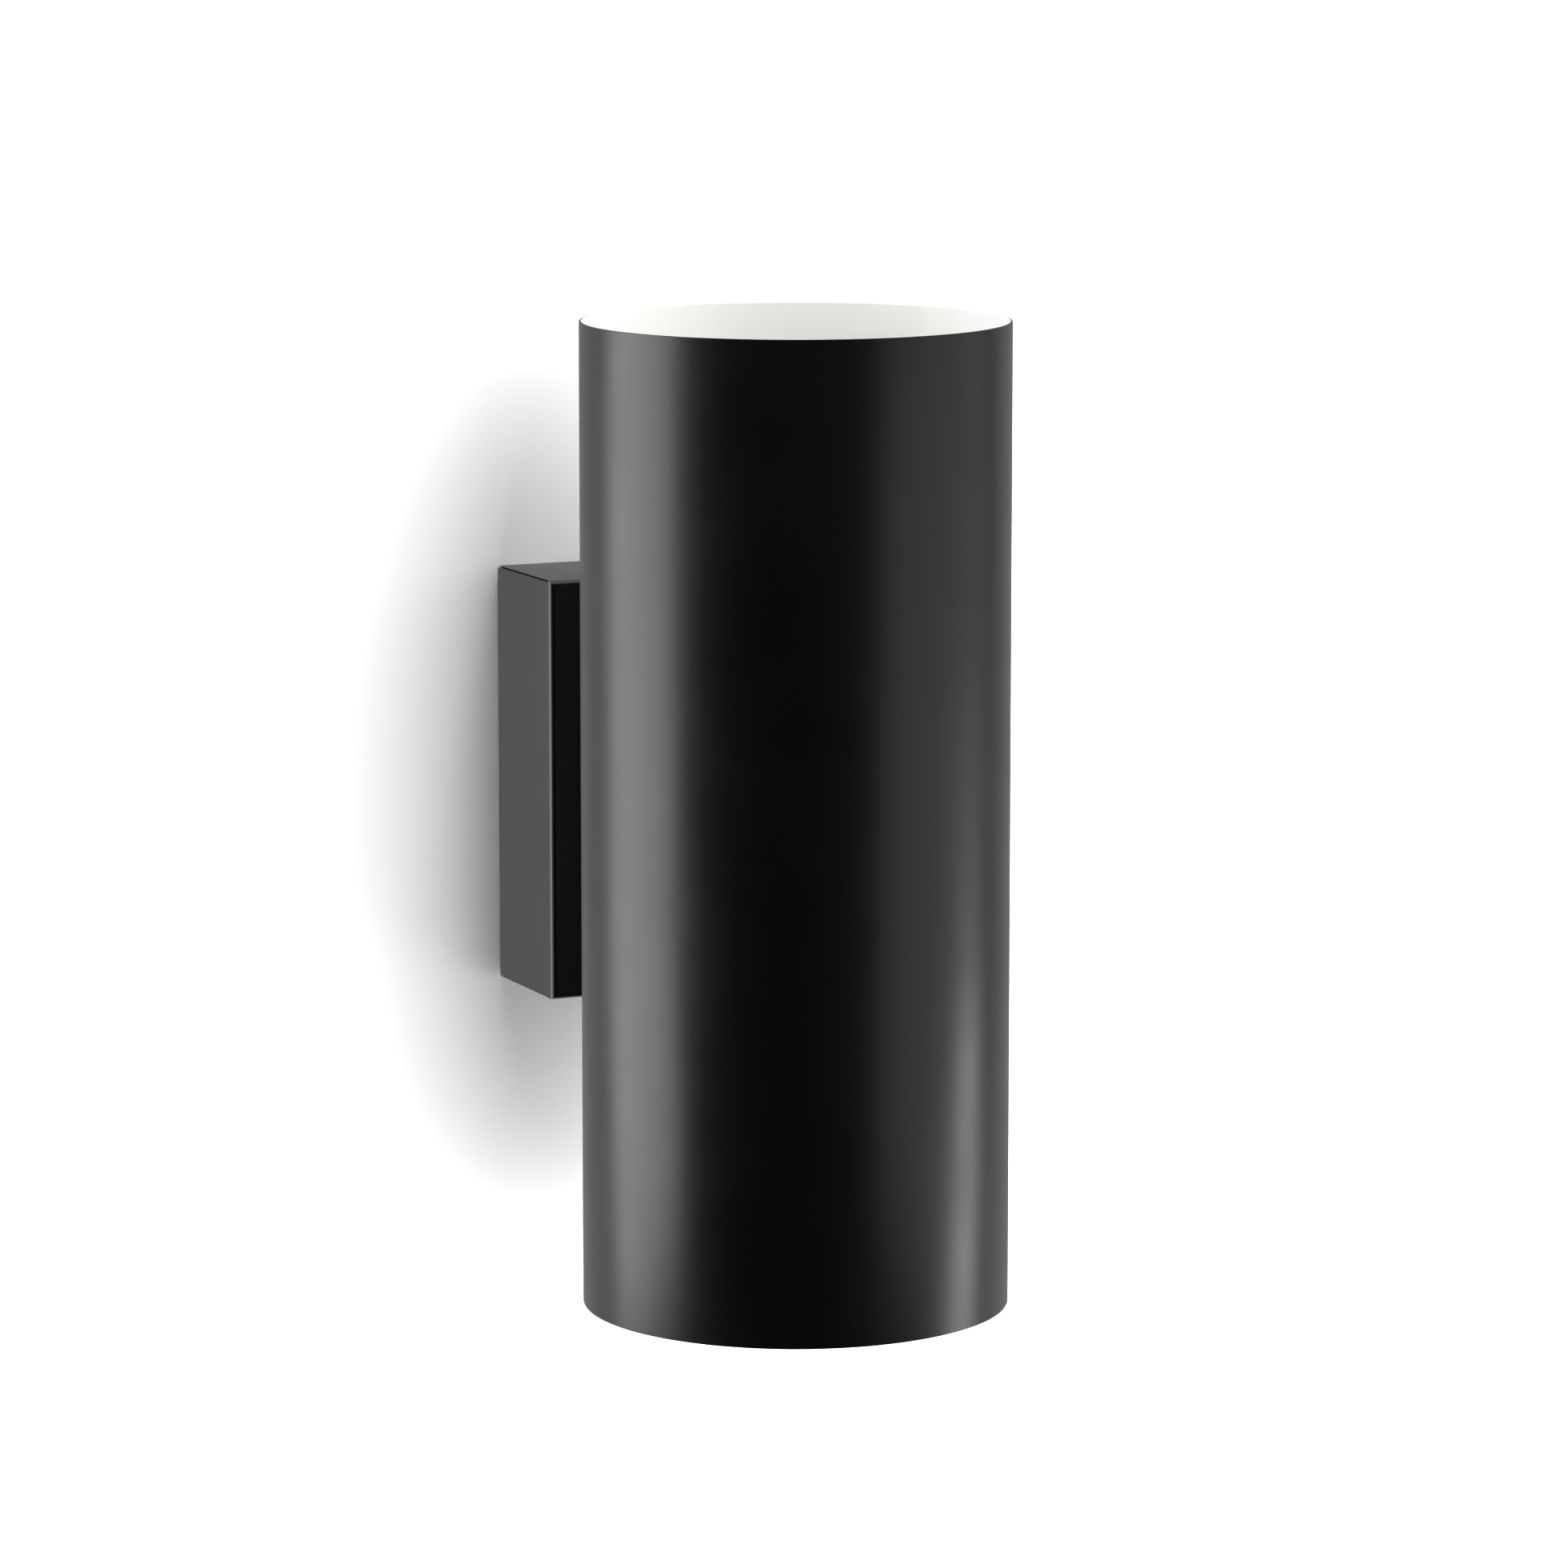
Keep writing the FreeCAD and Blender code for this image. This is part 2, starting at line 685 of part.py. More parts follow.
def lamp_board():
    """The round board that carries the light sources, on top of the housing."""
    disc = Part.makeCylinder(lamp_board_radius, lamp_board_thickness, at(0, 0, housing_top_z))
    return on_lamp_foot(disc)


def lamp_globe():
    """The opal globe: a thin hollow ball, cut off flat where it is a little wider than its housing."""
    middle = at(0, 0, globe_middle_z)
    ball = Part.makeSphere(globe_radius, middle).cut(Part.makeSphere(globe_radius - globe_wall, middle))
    below = block(-lamp_length, lamp_length, -lamp_length, lamp_length, -lamp_length, housing_top_z)
    return on_lamp_foot(ball.cut(below))


# ---- Terminal block and earth stud in the canopy


def terminal_block():
    """A moulded three pole block with a bore for each insert, screw wells and two stud holes."""
    half = block_width / 2
    top_y = canopy_inner_y + block_depth
    body = block(block_middle_x - half, block_middle_x + half, canopy_inner_y, top_y,
                 -block_height / 2, block_height / 2)
    body = body.makeFillet(block_corner_radius, edges_along(body, y_axis, lambda middle: True))
    for z in pole_heights:
        body = body.cut(rod(insert_radius + part_play, at(block_left_x, pole_y, z),
                            at(block_left_x + block_width, pole_y, z)))
        for x in clamp_screw_places():
            body = body.cut(rod(m3_head_radius + clamp_screw_hole_play, at(x, pole_y, z), at(x, top_y, z)))
    for z in stud_heights():
        body = body.cut(rod(m3_radius + stud_hole_play, at(block_middle_x, canopy_inner_y, z),
                            at(block_middle_x, top_y, z)))
    return body


def clamp_screw_places():
    """The two clamp screws of a pole, along its insert."""
    return [block_middle_x - clamp_screw_spacing / 2, block_middle_x + clamp_screw_spacing / 2]


def stud_heights():
    """The two studs stand between the poles."""
    return [pole_pitch / 2, -pole_pitch / 2]


def terminal_inserts():
    """Three brass tubes, each tapped for two clamp screws."""
    inserts = []
    left = block_left_x + insert_end_gap
    right = block_left_x + block_width - insert_end_gap
    for z in pole_heights:
        insert = rod(insert_radius, at(left, pole_y, z), at(right, pole_y, z))
        insert = insert.cut(rod(insert_bore_radius, at(left, pole_y, z), at(right, pole_y, z)))
        for x in clamp_screw_places():
            outside = at(x, pole_y + insert_radius + cut_spare, z)
            insert = insert.cut(rod(m3_radius + thread_play, at(x, pole_y, z), outside))
        inserts.append(insert)
    return inserts


def terminal_clamp_screws():
    """Six M3 screws that stand over the wires and can be reached from the wall side."""
    seat_y = pole_y + insert_radius + wire_end_gap
    length = seat_y - pole_y - wire_radius - wire_end_gap
    pin = slotted_screw(m3_radius, length, m3_head_radius, m3_head_height)
    return [placed(pin, at(x, seat_y, z), y_axis) for z in pole_heights for x in clamp_screw_places()]


def terminal_studs():
    """Two M3 weld studs on the canopy's inner face."""
    foot = [at(block_middle_x, canopy_inner_y, z) for z in stud_heights()]
    return [rod(m3_radius, point, point + y_axis * stud_length) for point in foot]


def terminal_nuts():
    """The nuts that hold the block down."""
    nut = hexagon_nut(m3_nut_across, m3_nut_height, m3_radius + thread_play)
    seat_y = canopy_inner_y + block_depth
    return [placed(nut, at(block_middle_x, seat_y, z), y_axis) for z in stud_heights()]


def earth_stud():
    """An M4 weld stud."""
    foot = at(earth_stud_x, canopy_inner_y, earth_stud_z)
    return rod(m4_radius, foot, foot + y_axis * earth_stud_length)


def earth_washer():
    """The contact washer under the ring terminal."""
    ring = washer(ring_radius, m4_radius + thread_play, earth_washer_thickness)
    return placed(ring, at(earth_stud_x, canopy_inner_y, earth_stud_z), y_axis)


ring_y = canopy_inner_y + earth_washer_thickness
crimp_y = ring_y + crimp_radius


def earth_ring_terminal():
    """A stamped ring with a crimp barrel that points towards the terminal block."""
    ring = washer(ring_radius, m4_radius + thread_play, ring_sheet)
    ring = placed(ring, at(earth_stud_x, ring_y, earth_stud_z), y_axis)
    start = at(earth_stud_x + crimp_start, crimp_y, earth_stud_z)
    end = start + x_axis * crimp_length
    barrel = rod(crimp_radius, start, end)
    terminal = ring.fuse(barrel).cut(rod(wire_radius + part_play, start, end))
    nut_seat = at(earth_stud_x, ring_y + ring_sheet, earth_stud_z)
    nut_room = rod(m4_nut_across / math.sqrt(3) + part_play, nut_seat, nut_seat + y_axis * m4_nut_height)
    return terminal.cut(nut_room)


def earth_nut():
    """The nut on top of the ring terminal."""
    nut = hexagon_nut(m4_nut_across, m4_nut_height, m4_radius + thread_play)
    return placed(nut, at(earth_stud_x, ring_y + ring_sheet, earth_stud_z), y_axis)


# ---- Wires


def wire_along(name, points):
    """An insulated wire: straight runs joined by tangent arcs, each as large as its two runs allow."""
    edges = []
    radii = []
    start = points[0]
    for before, corner, after in zip(points, points[1:], points[2:]):
        arriving = (corner - before).normalize()
        leaving = (after - corner).normalize()
        half_bend = arriving.getAngle(leaving) / 2
        reach = run_share * min((corner - before).Length, (after - corner).Length)
        radius = reach / math.tan(half_bend)
        inward = (leaving - arriving).normalize()
        arc_start = corner - arriving * reach
        arc_middle = corner + inward * (radius / math.cos(half_bend) - radius)
        arc_end = corner + leaving * reach
        edges.append(Part.makeLine(start, arc_start))
        edges.append(Part.Arc(arc_start, arc_middle, arc_end).toShape())
        radii.append(round(radius, 1))
        start = arc_end
    edges.append(Part.makeLine(start, points[-1]))
    path = Part.Wire(edges)
    section = Part.Wire(Part.makeCircle(wire_radius, points[0], points[1] - points[0]))
    wire = path.makePipeShell([section], True, False)
    expected = math.pi * wire_radius ** 2 * path.Length
    share = round(wire.Volume / expected, 4)
    print(name, "radii", radii, "length", round(path.Length, 1), "volume share", share)
    return wire


def holder_wire(name, end, entry_x, bundle_x, turn_from_face, pole_z):
    """A wire from a holder (end = 1 is the upper one) through the bush to a pole of the block."""
    entry_z = holder_seat_height + holder_floor - wire_end_gap
    turn_y = canopy_inner_y + turn_from_face
    z = end * wire_pair_offset
    in_pole_z = pole_z + z
    return wire_along(name, [
        at(entry_x, tube_axis_y, end * entry_z),
        at(entry_x, tube_axis_y, end * wire_turn_height),
        at(bundle_x, tube_axis_y + wire_gather_from_axis, z),
        at(bundle_x, turn_y, z),
        at(block_left_x - block_approach, pole_y, in_pole_z),
        at(block_left_x + wire_in_pole, pole_y, in_pole_z),
    ])


def earth_wire():
    """The green and yellow wire from the ring terminal to the lowest pole."""
    crimp_end_x = earth_stud_x + crimp_start + crimp_length
    pole_z = pole_heights[2]
    return wire_along("earth_wire", [
        at(crimp_end_x - crimp_length / 2, crimp_y, earth_stud_z),
        at(crimp_end_x + earth_first_run, crimp_y, earth_stud_z),
        at(block_left_x - earth_approach, pole_y, pole_z),
        at(block_left_x + wire_in_pole, pole_y, pole_z),
    ])


# ---- All pieces, by node


def write_node(name, shapes):
    """Writes one sub-part: a single solid, or a group of separate like solids."""
    solids = [solid for shape in shapes for solid in shape.Solids]
    whole = solids[0] if len(solids) == 1 else Part.makeCompound(solids)
    volume = round(sum(solid.Volume for solid in solids), 1)
    print(name, len(solids), "solid(s)", volume, "mm3", whole.isValid())
    whole.exportStep("parts/" + name + ".step")


def lamp_pieces():
    """The six pieces of one lamp, for the upper end."""
    return {
        "globe": lamp_globe(),
        "housing": lamp_housing(),
        "board": lamp_board(),
        "cap": lamp_cap(),
        "insulator": lamp_insulator(),
        "contact": lamp_contact(),
    }


def holder_pieces():
    """The three main pieces of one lampholder, for the upper end."""
    return {"body": holder_body(), "shell": holder_shell(), "spring": holder_spring()}


os.makedirs("parts", exist_ok=True)
write_node("wall_bracket", [wall_bracket()])
write_node("lock_nuts", lock_nuts())
write_node("cable_grommet", [cable_grommet()])
write_node("upper_lock_screw", [lock_screw(1)])
write_node("lower_lock_screw", [lock_screw(-1)])
write_node("canopy", [canopy()])
write_node("saddle", [saddle()])
write_node("tube", [tube()])
write_node("lampholder_bracket", [lampholder_bracket()])
write_node("press_nuts", press_nuts())
write_node("tube_screws", tube_screws())
write_node("tube_washers", tube_washers())
write_node("wire_bush", [wire_bush()])
for piece, shape in holder_pieces().items():
    write_node("upper_holder_" + piece, [shape])
    write_node("lower_holder_" + piece, [turned_over(shape)])
terminal_pair = holder_terminal_screws()
write_node("holder_terminal_screws", terminal_pair + [turned_over(pin) for pin in terminal_pair])
fixing_pair = holder_fixing_screws()
write_node("holder_fixing_screws", fixing_pair + [turned_over(pin) for pin in fixing_pair])
for piece, shape in lamp_pieces().items():
    write_node("upper_lamp_" + piece, [shape])
    write_node("lower_lamp_" + piece, [turned_over(shape)])
write_node("terminal_block", [terminal_block()])
write_node("terminal_inserts", terminal_inserts())
write_node("terminal_clamp_screws", terminal_clamp_screws())
write_node("terminal_studs", terminal_studs())
write_node("terminal_nuts", terminal_nuts())
write_node("earth_stud", [earth_stud()])
write_node("earth_washer", [earth_washer()])
write_node("earth_ring_terminal", [earth_ring_terminal()])
write_node("earth_nut", [earth_nut()])
for end, side in ((1, "upper"), (-1, "lower")):
    live = holder_wire(side + "_live_wire", end, live_entry_x, -wire_pair_offset, live_turn_from_face,
                       pole_heights[0])
    neutral = holder_wire(side + "_neutral_wire", end, neutral_entry_x, wire_pair_offset,
                          neutral_turn_from_face, pole_heights[1])
    write_node(side + "_live_wire", [live])
    write_node(side + "_neutral_wire", [neutral])
write_node("earth_wire", [earth_wire()])
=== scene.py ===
import math

import bmesh
import bpy
from mathutils import Matrix, Vector


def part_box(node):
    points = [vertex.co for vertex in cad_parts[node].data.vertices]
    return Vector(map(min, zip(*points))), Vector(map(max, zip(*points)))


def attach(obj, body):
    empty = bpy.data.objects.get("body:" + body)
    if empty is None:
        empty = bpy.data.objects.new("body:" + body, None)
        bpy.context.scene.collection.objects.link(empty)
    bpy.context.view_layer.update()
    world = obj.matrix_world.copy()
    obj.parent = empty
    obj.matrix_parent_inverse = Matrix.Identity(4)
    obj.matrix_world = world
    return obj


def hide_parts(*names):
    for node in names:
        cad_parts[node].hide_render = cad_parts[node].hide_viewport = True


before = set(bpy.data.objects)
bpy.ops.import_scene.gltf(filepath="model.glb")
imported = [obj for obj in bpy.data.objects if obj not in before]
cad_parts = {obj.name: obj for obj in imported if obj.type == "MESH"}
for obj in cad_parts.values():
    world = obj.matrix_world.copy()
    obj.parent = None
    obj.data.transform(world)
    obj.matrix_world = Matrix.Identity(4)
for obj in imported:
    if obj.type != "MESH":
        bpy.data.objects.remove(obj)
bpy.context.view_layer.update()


# ---- Wall bracket
# A punched and folded steel plate that is screwed to the wall, with the two press nuts on its lugs.
# It is zinc plated: a thin bright plate with a faint blue and straw tint and the steel's rolling grain.

MM = 0.001
NOISE_ROUGHNESS = 0.55
SHADE_STOPS = (0.35, 0.65)
GLOSS_STOPS = (0.3, 0.7)


def to_linear(hex_colour):
    """An sRGB hex colour such as #AABBCC as the linear colour that a shader takes."""
    channels = []
    for start in (1, 3, 5):
        value = int(hex_colour[start:start + 2], 16) / 255
        channels.append(value / 12.92 if value <= 0.04045 else ((value + 0.055) / 1.055) ** 2.4)
    return (*channels, 1.0)


def add_node(tree, kind, settings=(), links=()):
    """One shader node. settings are (name, value) pairs, links are (input, source node, output).

    An input or output that shares its name with another is given by its number. On a Mix node these are
    0 for the factor, 2 and 3 for two plain values, and 6 and 7 for two colours.
    """
    made = tree.nodes.new(kind)
    for name, value in settings:
        if isinstance(name, int) or name in made.inputs:
            made.inputs[name].default_value = value
        else:
            setattr(made, name, value)
    for name, source, output in links:
        tree.links.new(source.outputs[output], made.inputs[name])
    return made


def start_material(name, colour, **plain):
    """A material whose plain values are set on its shader. Returns the material and the shader."""
    material = bpy.data.materials.new(name)
    material.use_nodes = True
    shader = material.node_tree.nodes["Principled BSDF"]
    shader.inputs["Base Color"].default_value = to_linear(colour)
    for key, value in plain.items():
        shader.inputs[key.replace("_", " ").title().replace("Ior", "IOR")].default_value = value
    return material, shader


def vary(shader, patch_mm, stretch=(1, 1, 1), detail=3.0, shades=None, gloss=None, relief_mm=None):
    """A wandering pattern with patches of a real size, longer along an axis with a stretch above 1.

    It moves the colour between two shades, the roughness between two values, or the surface by a height
    in millimetres. One pattern can do several of these at once.
    """
    tree = shader.id_data
    place = add_node(tree, "ShaderNodeTexCoord")
    scale = tuple(1 / (patch_mm * MM * along) for along in stretch)
    sized = add_node(tree, "ShaderNodeMapping", [("Scale", scale)], [("Vector", place, "Object")])
    pattern = add_node(tree, "ShaderNodeTexNoise",
                       [("Scale", 1.0), ("Detail", detail), ("Roughness", NOISE_ROUGHNESS)],
                       [("Vector", sized, "Vector")])
    if shades:
        ramp = add_node(tree, "ShaderNodeValToRGB", [], [("Fac", pattern, "Fac")])
        for stop, position, colour in zip(ramp.color_ramp.elements, SHADE_STOPS, shades):
            stop.position = position
            stop.color = to_linear(colour)
        tree.links.new(ramp.outputs["Color"], shader.inputs["Base Color"])
    if gloss:
        spread = add_node(tree, "ShaderNodeMapRange",
                          [("From Min", GLOSS_STOPS[0]), ("From Max", GLOSS_STOPS[1]),
                           ("To Min", gloss[0]), ("To Max", gloss[1])],
                          [("Value", pattern, "Fac")])
        tree.links.new(spread.outputs["Result"], shader.inputs["Roughness"])
    if relief_mm:
        bump = add_node(tree, "ShaderNodeBump", [("Distance", relief_mm * MM)], [("Height", pattern, "Fac")])
        tree.links.new(bump.outputs["Normal"], shader.inputs["Normal"])


def zinc_plate():
    """Bright zinc: a metal soft in reflection, with 30 mm drifts of tint and 0.25 mm rolling grain."""
    material, shader = start_material("zinc plated steel", "#BCBFC2", metallic=1.0)
    vary(shader, 30, detail=2.0, shades=("#B8BCC1", "#C1C1BD"))
    vary(shader, 0.25, stretch=(1, 1, 24), gloss=(0.24, 0.4), relief_mm=0.012)
    return material


def finish_node(node_name, material):
    """A CAD piece keeps its shape and gets its material."""
    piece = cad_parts[node_name]
    piece.data.materials.clear()
    piece.data.materials.append(material)


zinc = zinc_plate()
finish_node("wall_bracket", zinc)
finish_node("lock_nuts", zinc)


# ---- Cable grommet
# Soft black rubber, pushed into the bracket's hole so that the sheet edge can't cut the supply cable.
# It is moulded: matt, a little dusty, with no sharp edge anywhere.


def black_rubber():
    """Matt rubber with a 0.6 mm moulding texture and a grey bloom in 5 mm patches."""
    material, shader = start_material("black rubber", "#161616", roughness=0.78)
    vary(shader, 5, shades=("#131313", "#1E1E1D"))
    vary(shader, 0.6, relief_mm=0.02)
    return material


finish_node("cable_grommet", black_rubber())


# ---- Lock screws
# Two M4 pan head screws of blackened steel that hold the canopy on the bracket from above and from below.
# The head is cold formed with a cross recess and the thread is rolled.

M4_RADIUS = 2.0
M4_PITCH = 0.7
M4_THREAD_HALF_DEPTH = 0.21
THREAD_SIDES = 48
THREAD_STEPS = 10
RING_SIDES = 96
CREASE_DEGREES = 35
SAME_PLACE = 1e-6
# Points of the head's outline, as shares of its radius and of its height.
HEAD_OUTLINE = ((0, 0), (1, 0), (1, 0.5), (0.93, 0.78), (0.78, 0.94), (0.5, 1), (0, 1))
HEAD_BREAK = 0.08
# The cross recess: its arms' reach and its floor are shares of the head's radius and height.
RECESS_WIDTH = 0.9
RECESS_REACH = 0.55
RECESS_FLOOR = 0.45
ABOVE_HEAD = 1
# The thread starts this far below the head, so that the two closed skins stay apart.
UNDER_HEAD = 0.05


def blackened_steel():
    """Black oxide over steel: dark, slightly metallic, rubbed brighter in 1.5 mm patches."""
    material, shader = start_material("blackened steel", "#1B1C1D", metallic=0.75)
    vary(shader, 1.5, shades=("#161718", "#2A2B2C"), gloss=(0.34, 0.5))
    vary(shader, 0.2, relief_mm=0.008)
    return material


def shade_smooth(mesh):
    """Curved faces shade as one surface, and steeper edges stay crisp."""
    for face in mesh.polygons:
        face.use_smooth = True
    mesh.set_sharp_from_angle(angle=math.radians(CREASE_DEGREES))


def new_piece(name, mesh_data, body, materials):
    """Links a finished mesh as one piece that rides on a body and takes its finish from a slot."""
    mesh = bpy.data.meshes.new(name)
    mesh_data.to_mesh(mesh)
    mesh_data.free()
    for material in materials:
        mesh.materials.append(material)
    shade_smooth(mesh)
    piece = bpy.data.objects.new(name, mesh)
    bpy.context.scene.collection.objects.link(piece)
    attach(piece, body)
    return piece


def round_point(radius_mm, turn, height_mm):
    """A point at a radius and an angle about Z, in metres."""
    return (radius_mm * MM * math.cos(turn), radius_mm * MM * math.sin(turn), height_mm * MM)


def turned_mesh(outline, sides=RING_SIDES):
    """A mesh turned about Z from (radius, height) points in millimetres.

    An outline that starts and ends on the axis makes a solid. Any other is closed to a ring.
    """
    mesh = bmesh.new()
    turns = [2 * math.pi * side / sides for side in range(sides)]
    rows = []
    for radius, height in outline:
        if radius < SAME_PLACE:
            rows.append([mesh.verts.new((0, 0, height * MM))])
        else:
            rows.append([mesh.verts.new(round_point(radius, turn, height)) for turn in turns])
    pairs = list(zip(rows, rows[1:]))
    if len(rows[0]) > 1 or len(rows[-1]) > 1:
        pairs.append((rows[-1], rows[0]))
    for low, high in pairs:
        if len(low) == 1 and len(high) == 1:
            continue
        for side in range(sides):
            after = (side + 1) % sides
            if len(low) == 1:
                mesh.faces.new((low[0], high[after], high[side]))
            elif len(high) == 1:
                mesh.faces.new((low[side], low[after], high[0]))
            else:
                mesh.faces.new((low[side], low[after], high[after], high[side]))
    bmesh.ops.recalc_face_normals(mesh, faces=mesh.faces)
    return mesh


def thread_mesh(low_mm, high_mm):
    """A closed M4 bar with a sharp helical thread that fades out over half a pitch at each end."""
    mesh = bmesh.new()
    mean = M4_RADIUS - M4_THREAD_HALF_DEPTH
    count = round((high_mm - low_mm) / M4_PITCH * THREAD_STEPS)
    rows = []
    for row in range(count + 1):
        height = low_mm + (high_mm - low_mm) * row / count
        fade = min(1.0, min(height - low_mm, high_mm - height) / (M4_PITCH / 2))
        ring = []
        for side in range(THREAD_SIDES):
            wave = 4 * abs((height / M4_PITCH - side / THREAD_SIDES) % 1.0 - 0.5) - 1
            radius = mean + M4_THREAD_HALF_DEPTH * wave * fade
            ring.append(mesh.verts.new(round_point(radius, 2 * math.pi * side / THREAD_SIDES, height)))
        rows.append(ring)
    for low, high in zip(rows, rows[1:]):
        for side in range(THREAD_SIDES):
            after = (side + 1) % THREAD_SIDES
            mesh.faces.new((low[side], low[after], high[after], high[side]))
    mesh.faces.new(list(reversed(rows[0])))
    mesh.faces.new(rows[-1])
    return mesh


def block_mesh(low, high):
    """A block between two corners."""
    mesh = bmesh.new()
    bmesh.ops.create_cube(mesh, size=1.0)
    size = Vector(high) - Vector(low)
    middle = (Vector(high) + Vector(low)) / 2
    to_place = Matrix.Translation(middle) @ Matrix.Diagonal((*size, 1.0))
    bmesh.ops.transform(mesh, matrix=to_place, verts=mesh.verts)
    return mesh


def join_meshes(whole, other):
    """Adds a second mesh to the first. Each stays a closed skin of its own."""
    spare = bpy.data.meshes.new("spare")
    other.to_mesh(spare)
    other.free()
    whole.from_mesh(spare)
    bpy.data.meshes.remove(spare)
    return whole


def cut_away(piece, cutter_mesh):
    """Cuts a closed cutter out of a piece and keeps the result as the piece's own mesh."""
    spare = bpy.data.meshes.new("cutter")
    cutter_mesh.to_mesh(spare)
    cutter_mesh.free()
    cutter = bpy.data.objects.new("cutter", spare)
    bpy.context.scene.collection.objects.link(cutter)
    cut = piece.modifiers.new("cut", "BOOLEAN")
    cut.operation = "DIFFERENCE"
    cut.solver = "EXACT"
    cut.object = cutter
    bpy.context.view_layer.update()
    evaluated = piece.evaluated_get(bpy.context.evaluated_depsgraph_get())
    result = bpy.data.meshes.new_from_object(evaluated)
    piece.modifiers.clear()
    old = piece.data
    piece.data = result
    bpy.data.meshes.remove(old)
    bpy.data.objects.remove(cutter)
    bpy.data.meshes.remove(spare)
    shade_smooth(piece.data)


def break_edges(piece, edge_mm, segments=2):
    """The small radius that forming, moulding or paint leaves on a piece's edges."""
    edge = piece.modifiers.new("broken edges", "BEVEL")
    edge.width = edge_mm * MM
    edge.segments = segments
    edge.limit_method = "ANGLE"
    edge.angle_limit = math.radians(CREASE_DEGREES)
    edge.harden_normals = True


black_steel = blackened_steel()
canopy_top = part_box("canopy")[1].z / MM
for side, facing in (("upper", 1), ("lower", -1)):
    low, high = (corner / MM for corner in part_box(side + "_lock_screw"))
    head_radius = (high.x - low.x) / 2
    head_height = max(high.z, -low.z) - canopy_top
    shank = high.z - low.z - head_height
    head = turned_mesh([(head_radius * across, head_height * up) for across, up in HEAD_OUTLINE])
    piece = new_piece(side + "_lock_screw_steel", head, side + " lock screw",
                      [black_steel])
    arm = head_radius * RECESS_REACH * MM
    half = RECESS_WIDTH / 2 * MM
    floor = head_height * RECESS_FLOOR * MM
    top = (head_height + ABOVE_HEAD) * MM
    cut_away(piece, block_mesh((-arm, -half, floor), (arm, half, top)))
    cut_away(piece, block_mesh((-half, -arm, floor), (half, arm, top)))
    whole = bmesh.new()
    whole.from_mesh(piece.data)
    whole = join_meshes(whole, thread_mesh(-shank, -UNDER_HEAD))
    turn = Matrix.Rotation(0 if facing > 0 else math.pi, 4, "X")
    middle = (low + high) / 2
    seat = Matrix.Translation((middle.x * MM, middle.y * MM, facing * canopy_top * MM))
    bmesh.ops.transform(whole, matrix=seat @ turn, verts=whole.verts)
    whole.to_mesh(piece.data)
    whole.free()
    break_edges(piece, HEAD_BREAK)
    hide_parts(side + "_lock_screw")


# ---- Canopy
# Mild steel sheet, folded to a box that is open to the wall, with a slot for each lock screw.
# Its four corner seams are filled by the paint to fine dark grooves.
# Satin black powder coat: even and dark, with soft broad highlights and a very low orange peel.

CANOPY_SHEET = 1.2 * MM
CANOPY_BEND = 1.6 * MM
BEND_STEPS = 8
CANOPY_BREAK = 0.12
FACING_BACK = 0.9
# A seam's groove is this wide and starts this far in from the middle of the sheet, so it is closed behind.
CANOPY_SEAM = 0.5 * MM
SEAM_FLOOR = -0.25 * MM
SEAM_REACH = 3 * CANOPY_SHEET
MITRE_DEGREES = 45
SLOT_HALF_WIDTH = 2.3 * MM
BEHIND_CANOPY = 10 * MM


def black_powder_coat():
    """Baked powder: nearly black, satin, with a 1.6 mm orange peel and 25 mm drift in its gloss."""
    material, shader = start_material("satin black powder coat", "#060607", ior=1.55)
    vary(shader, 25, detail=2.0, gloss=(0.30, 0.34))
    vary(shader, 1.6, detail=2.0, relief_mm=0.006)
    return material


def box_shell(low, high):
    """The skin of the folded box: open at the back, with its front edges bent to a radius."""
    mesh = block_mesh(low, high)
    back = [face for face in mesh.faces if face.normal.y > FACING_BACK]
    bmesh.ops.delete(mesh, geom=back, context="FACES")
    front = [edge for edge in mesh.edges if all(abs(vert.co.y - low[1]) < SAME_PLACE for vert in edge.verts)]
    bmesh.ops.bevel(mesh, geom=front, offset=CANOPY_BEND, segments=BEND_STEPS, profile=0.5, affect="EDGES",
                    clamp_overlap=True)
    bmesh.ops.recalc_face_normals(mesh, faces=mesh.faces)
    return mesh


def rod_mesh(radius_mm, low_mm, high_mm, sides=RING_SIDES):
    """A solid rod about Z, which cuts a round hole."""
    return turned_mesh([(0, low_mm), (radius_mm, low_mm), (radius_mm, high_mm), (0, high_mm)], sides)


black_coat = black_powder_coat()
canopy_low, canopy_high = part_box("canopy")
box = box_shell(canopy_low, canopy_high)
canopy = new_piece("canopy_coated", box, "fitting", [black_coat])
sheet = canopy.modifiers.new("sheet", "SOLIDIFY")
sheet.thickness = CANOPY_SHEET
sheet.offset = -1
sheet.use_even_offset = True
for x_side in (-1, 1):
    for z_side in (-1, 1):
        start, end = sorted((x_side * SEAM_FLOOR, x_side * SEAM_REACH))
        seam = block_mesh((start, canopy_low.y + CANOPY_BEND, -CANOPY_SEAM / 2),
                          (end, BEHIND_CANOPY, CANOPY_SEAM / 2))
        lean = Matrix.Rotation(math.radians(-MITRE_DEGREES * x_side * z_side), 4, "Y")
        corner = Matrix.Translation((x_side * (canopy_high.x - CANOPY_SHEET / 2), 0,
                                     z_side * (canopy_high.z - CANOPY_SHEET / 2)))
        bmesh.ops.transform(seam, matrix=corner @ lean, verts=seam.verts)
        cut_away(canopy, seam)
lock_screw_y = sum(corner.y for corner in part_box("upper_lock_screw")) / 2
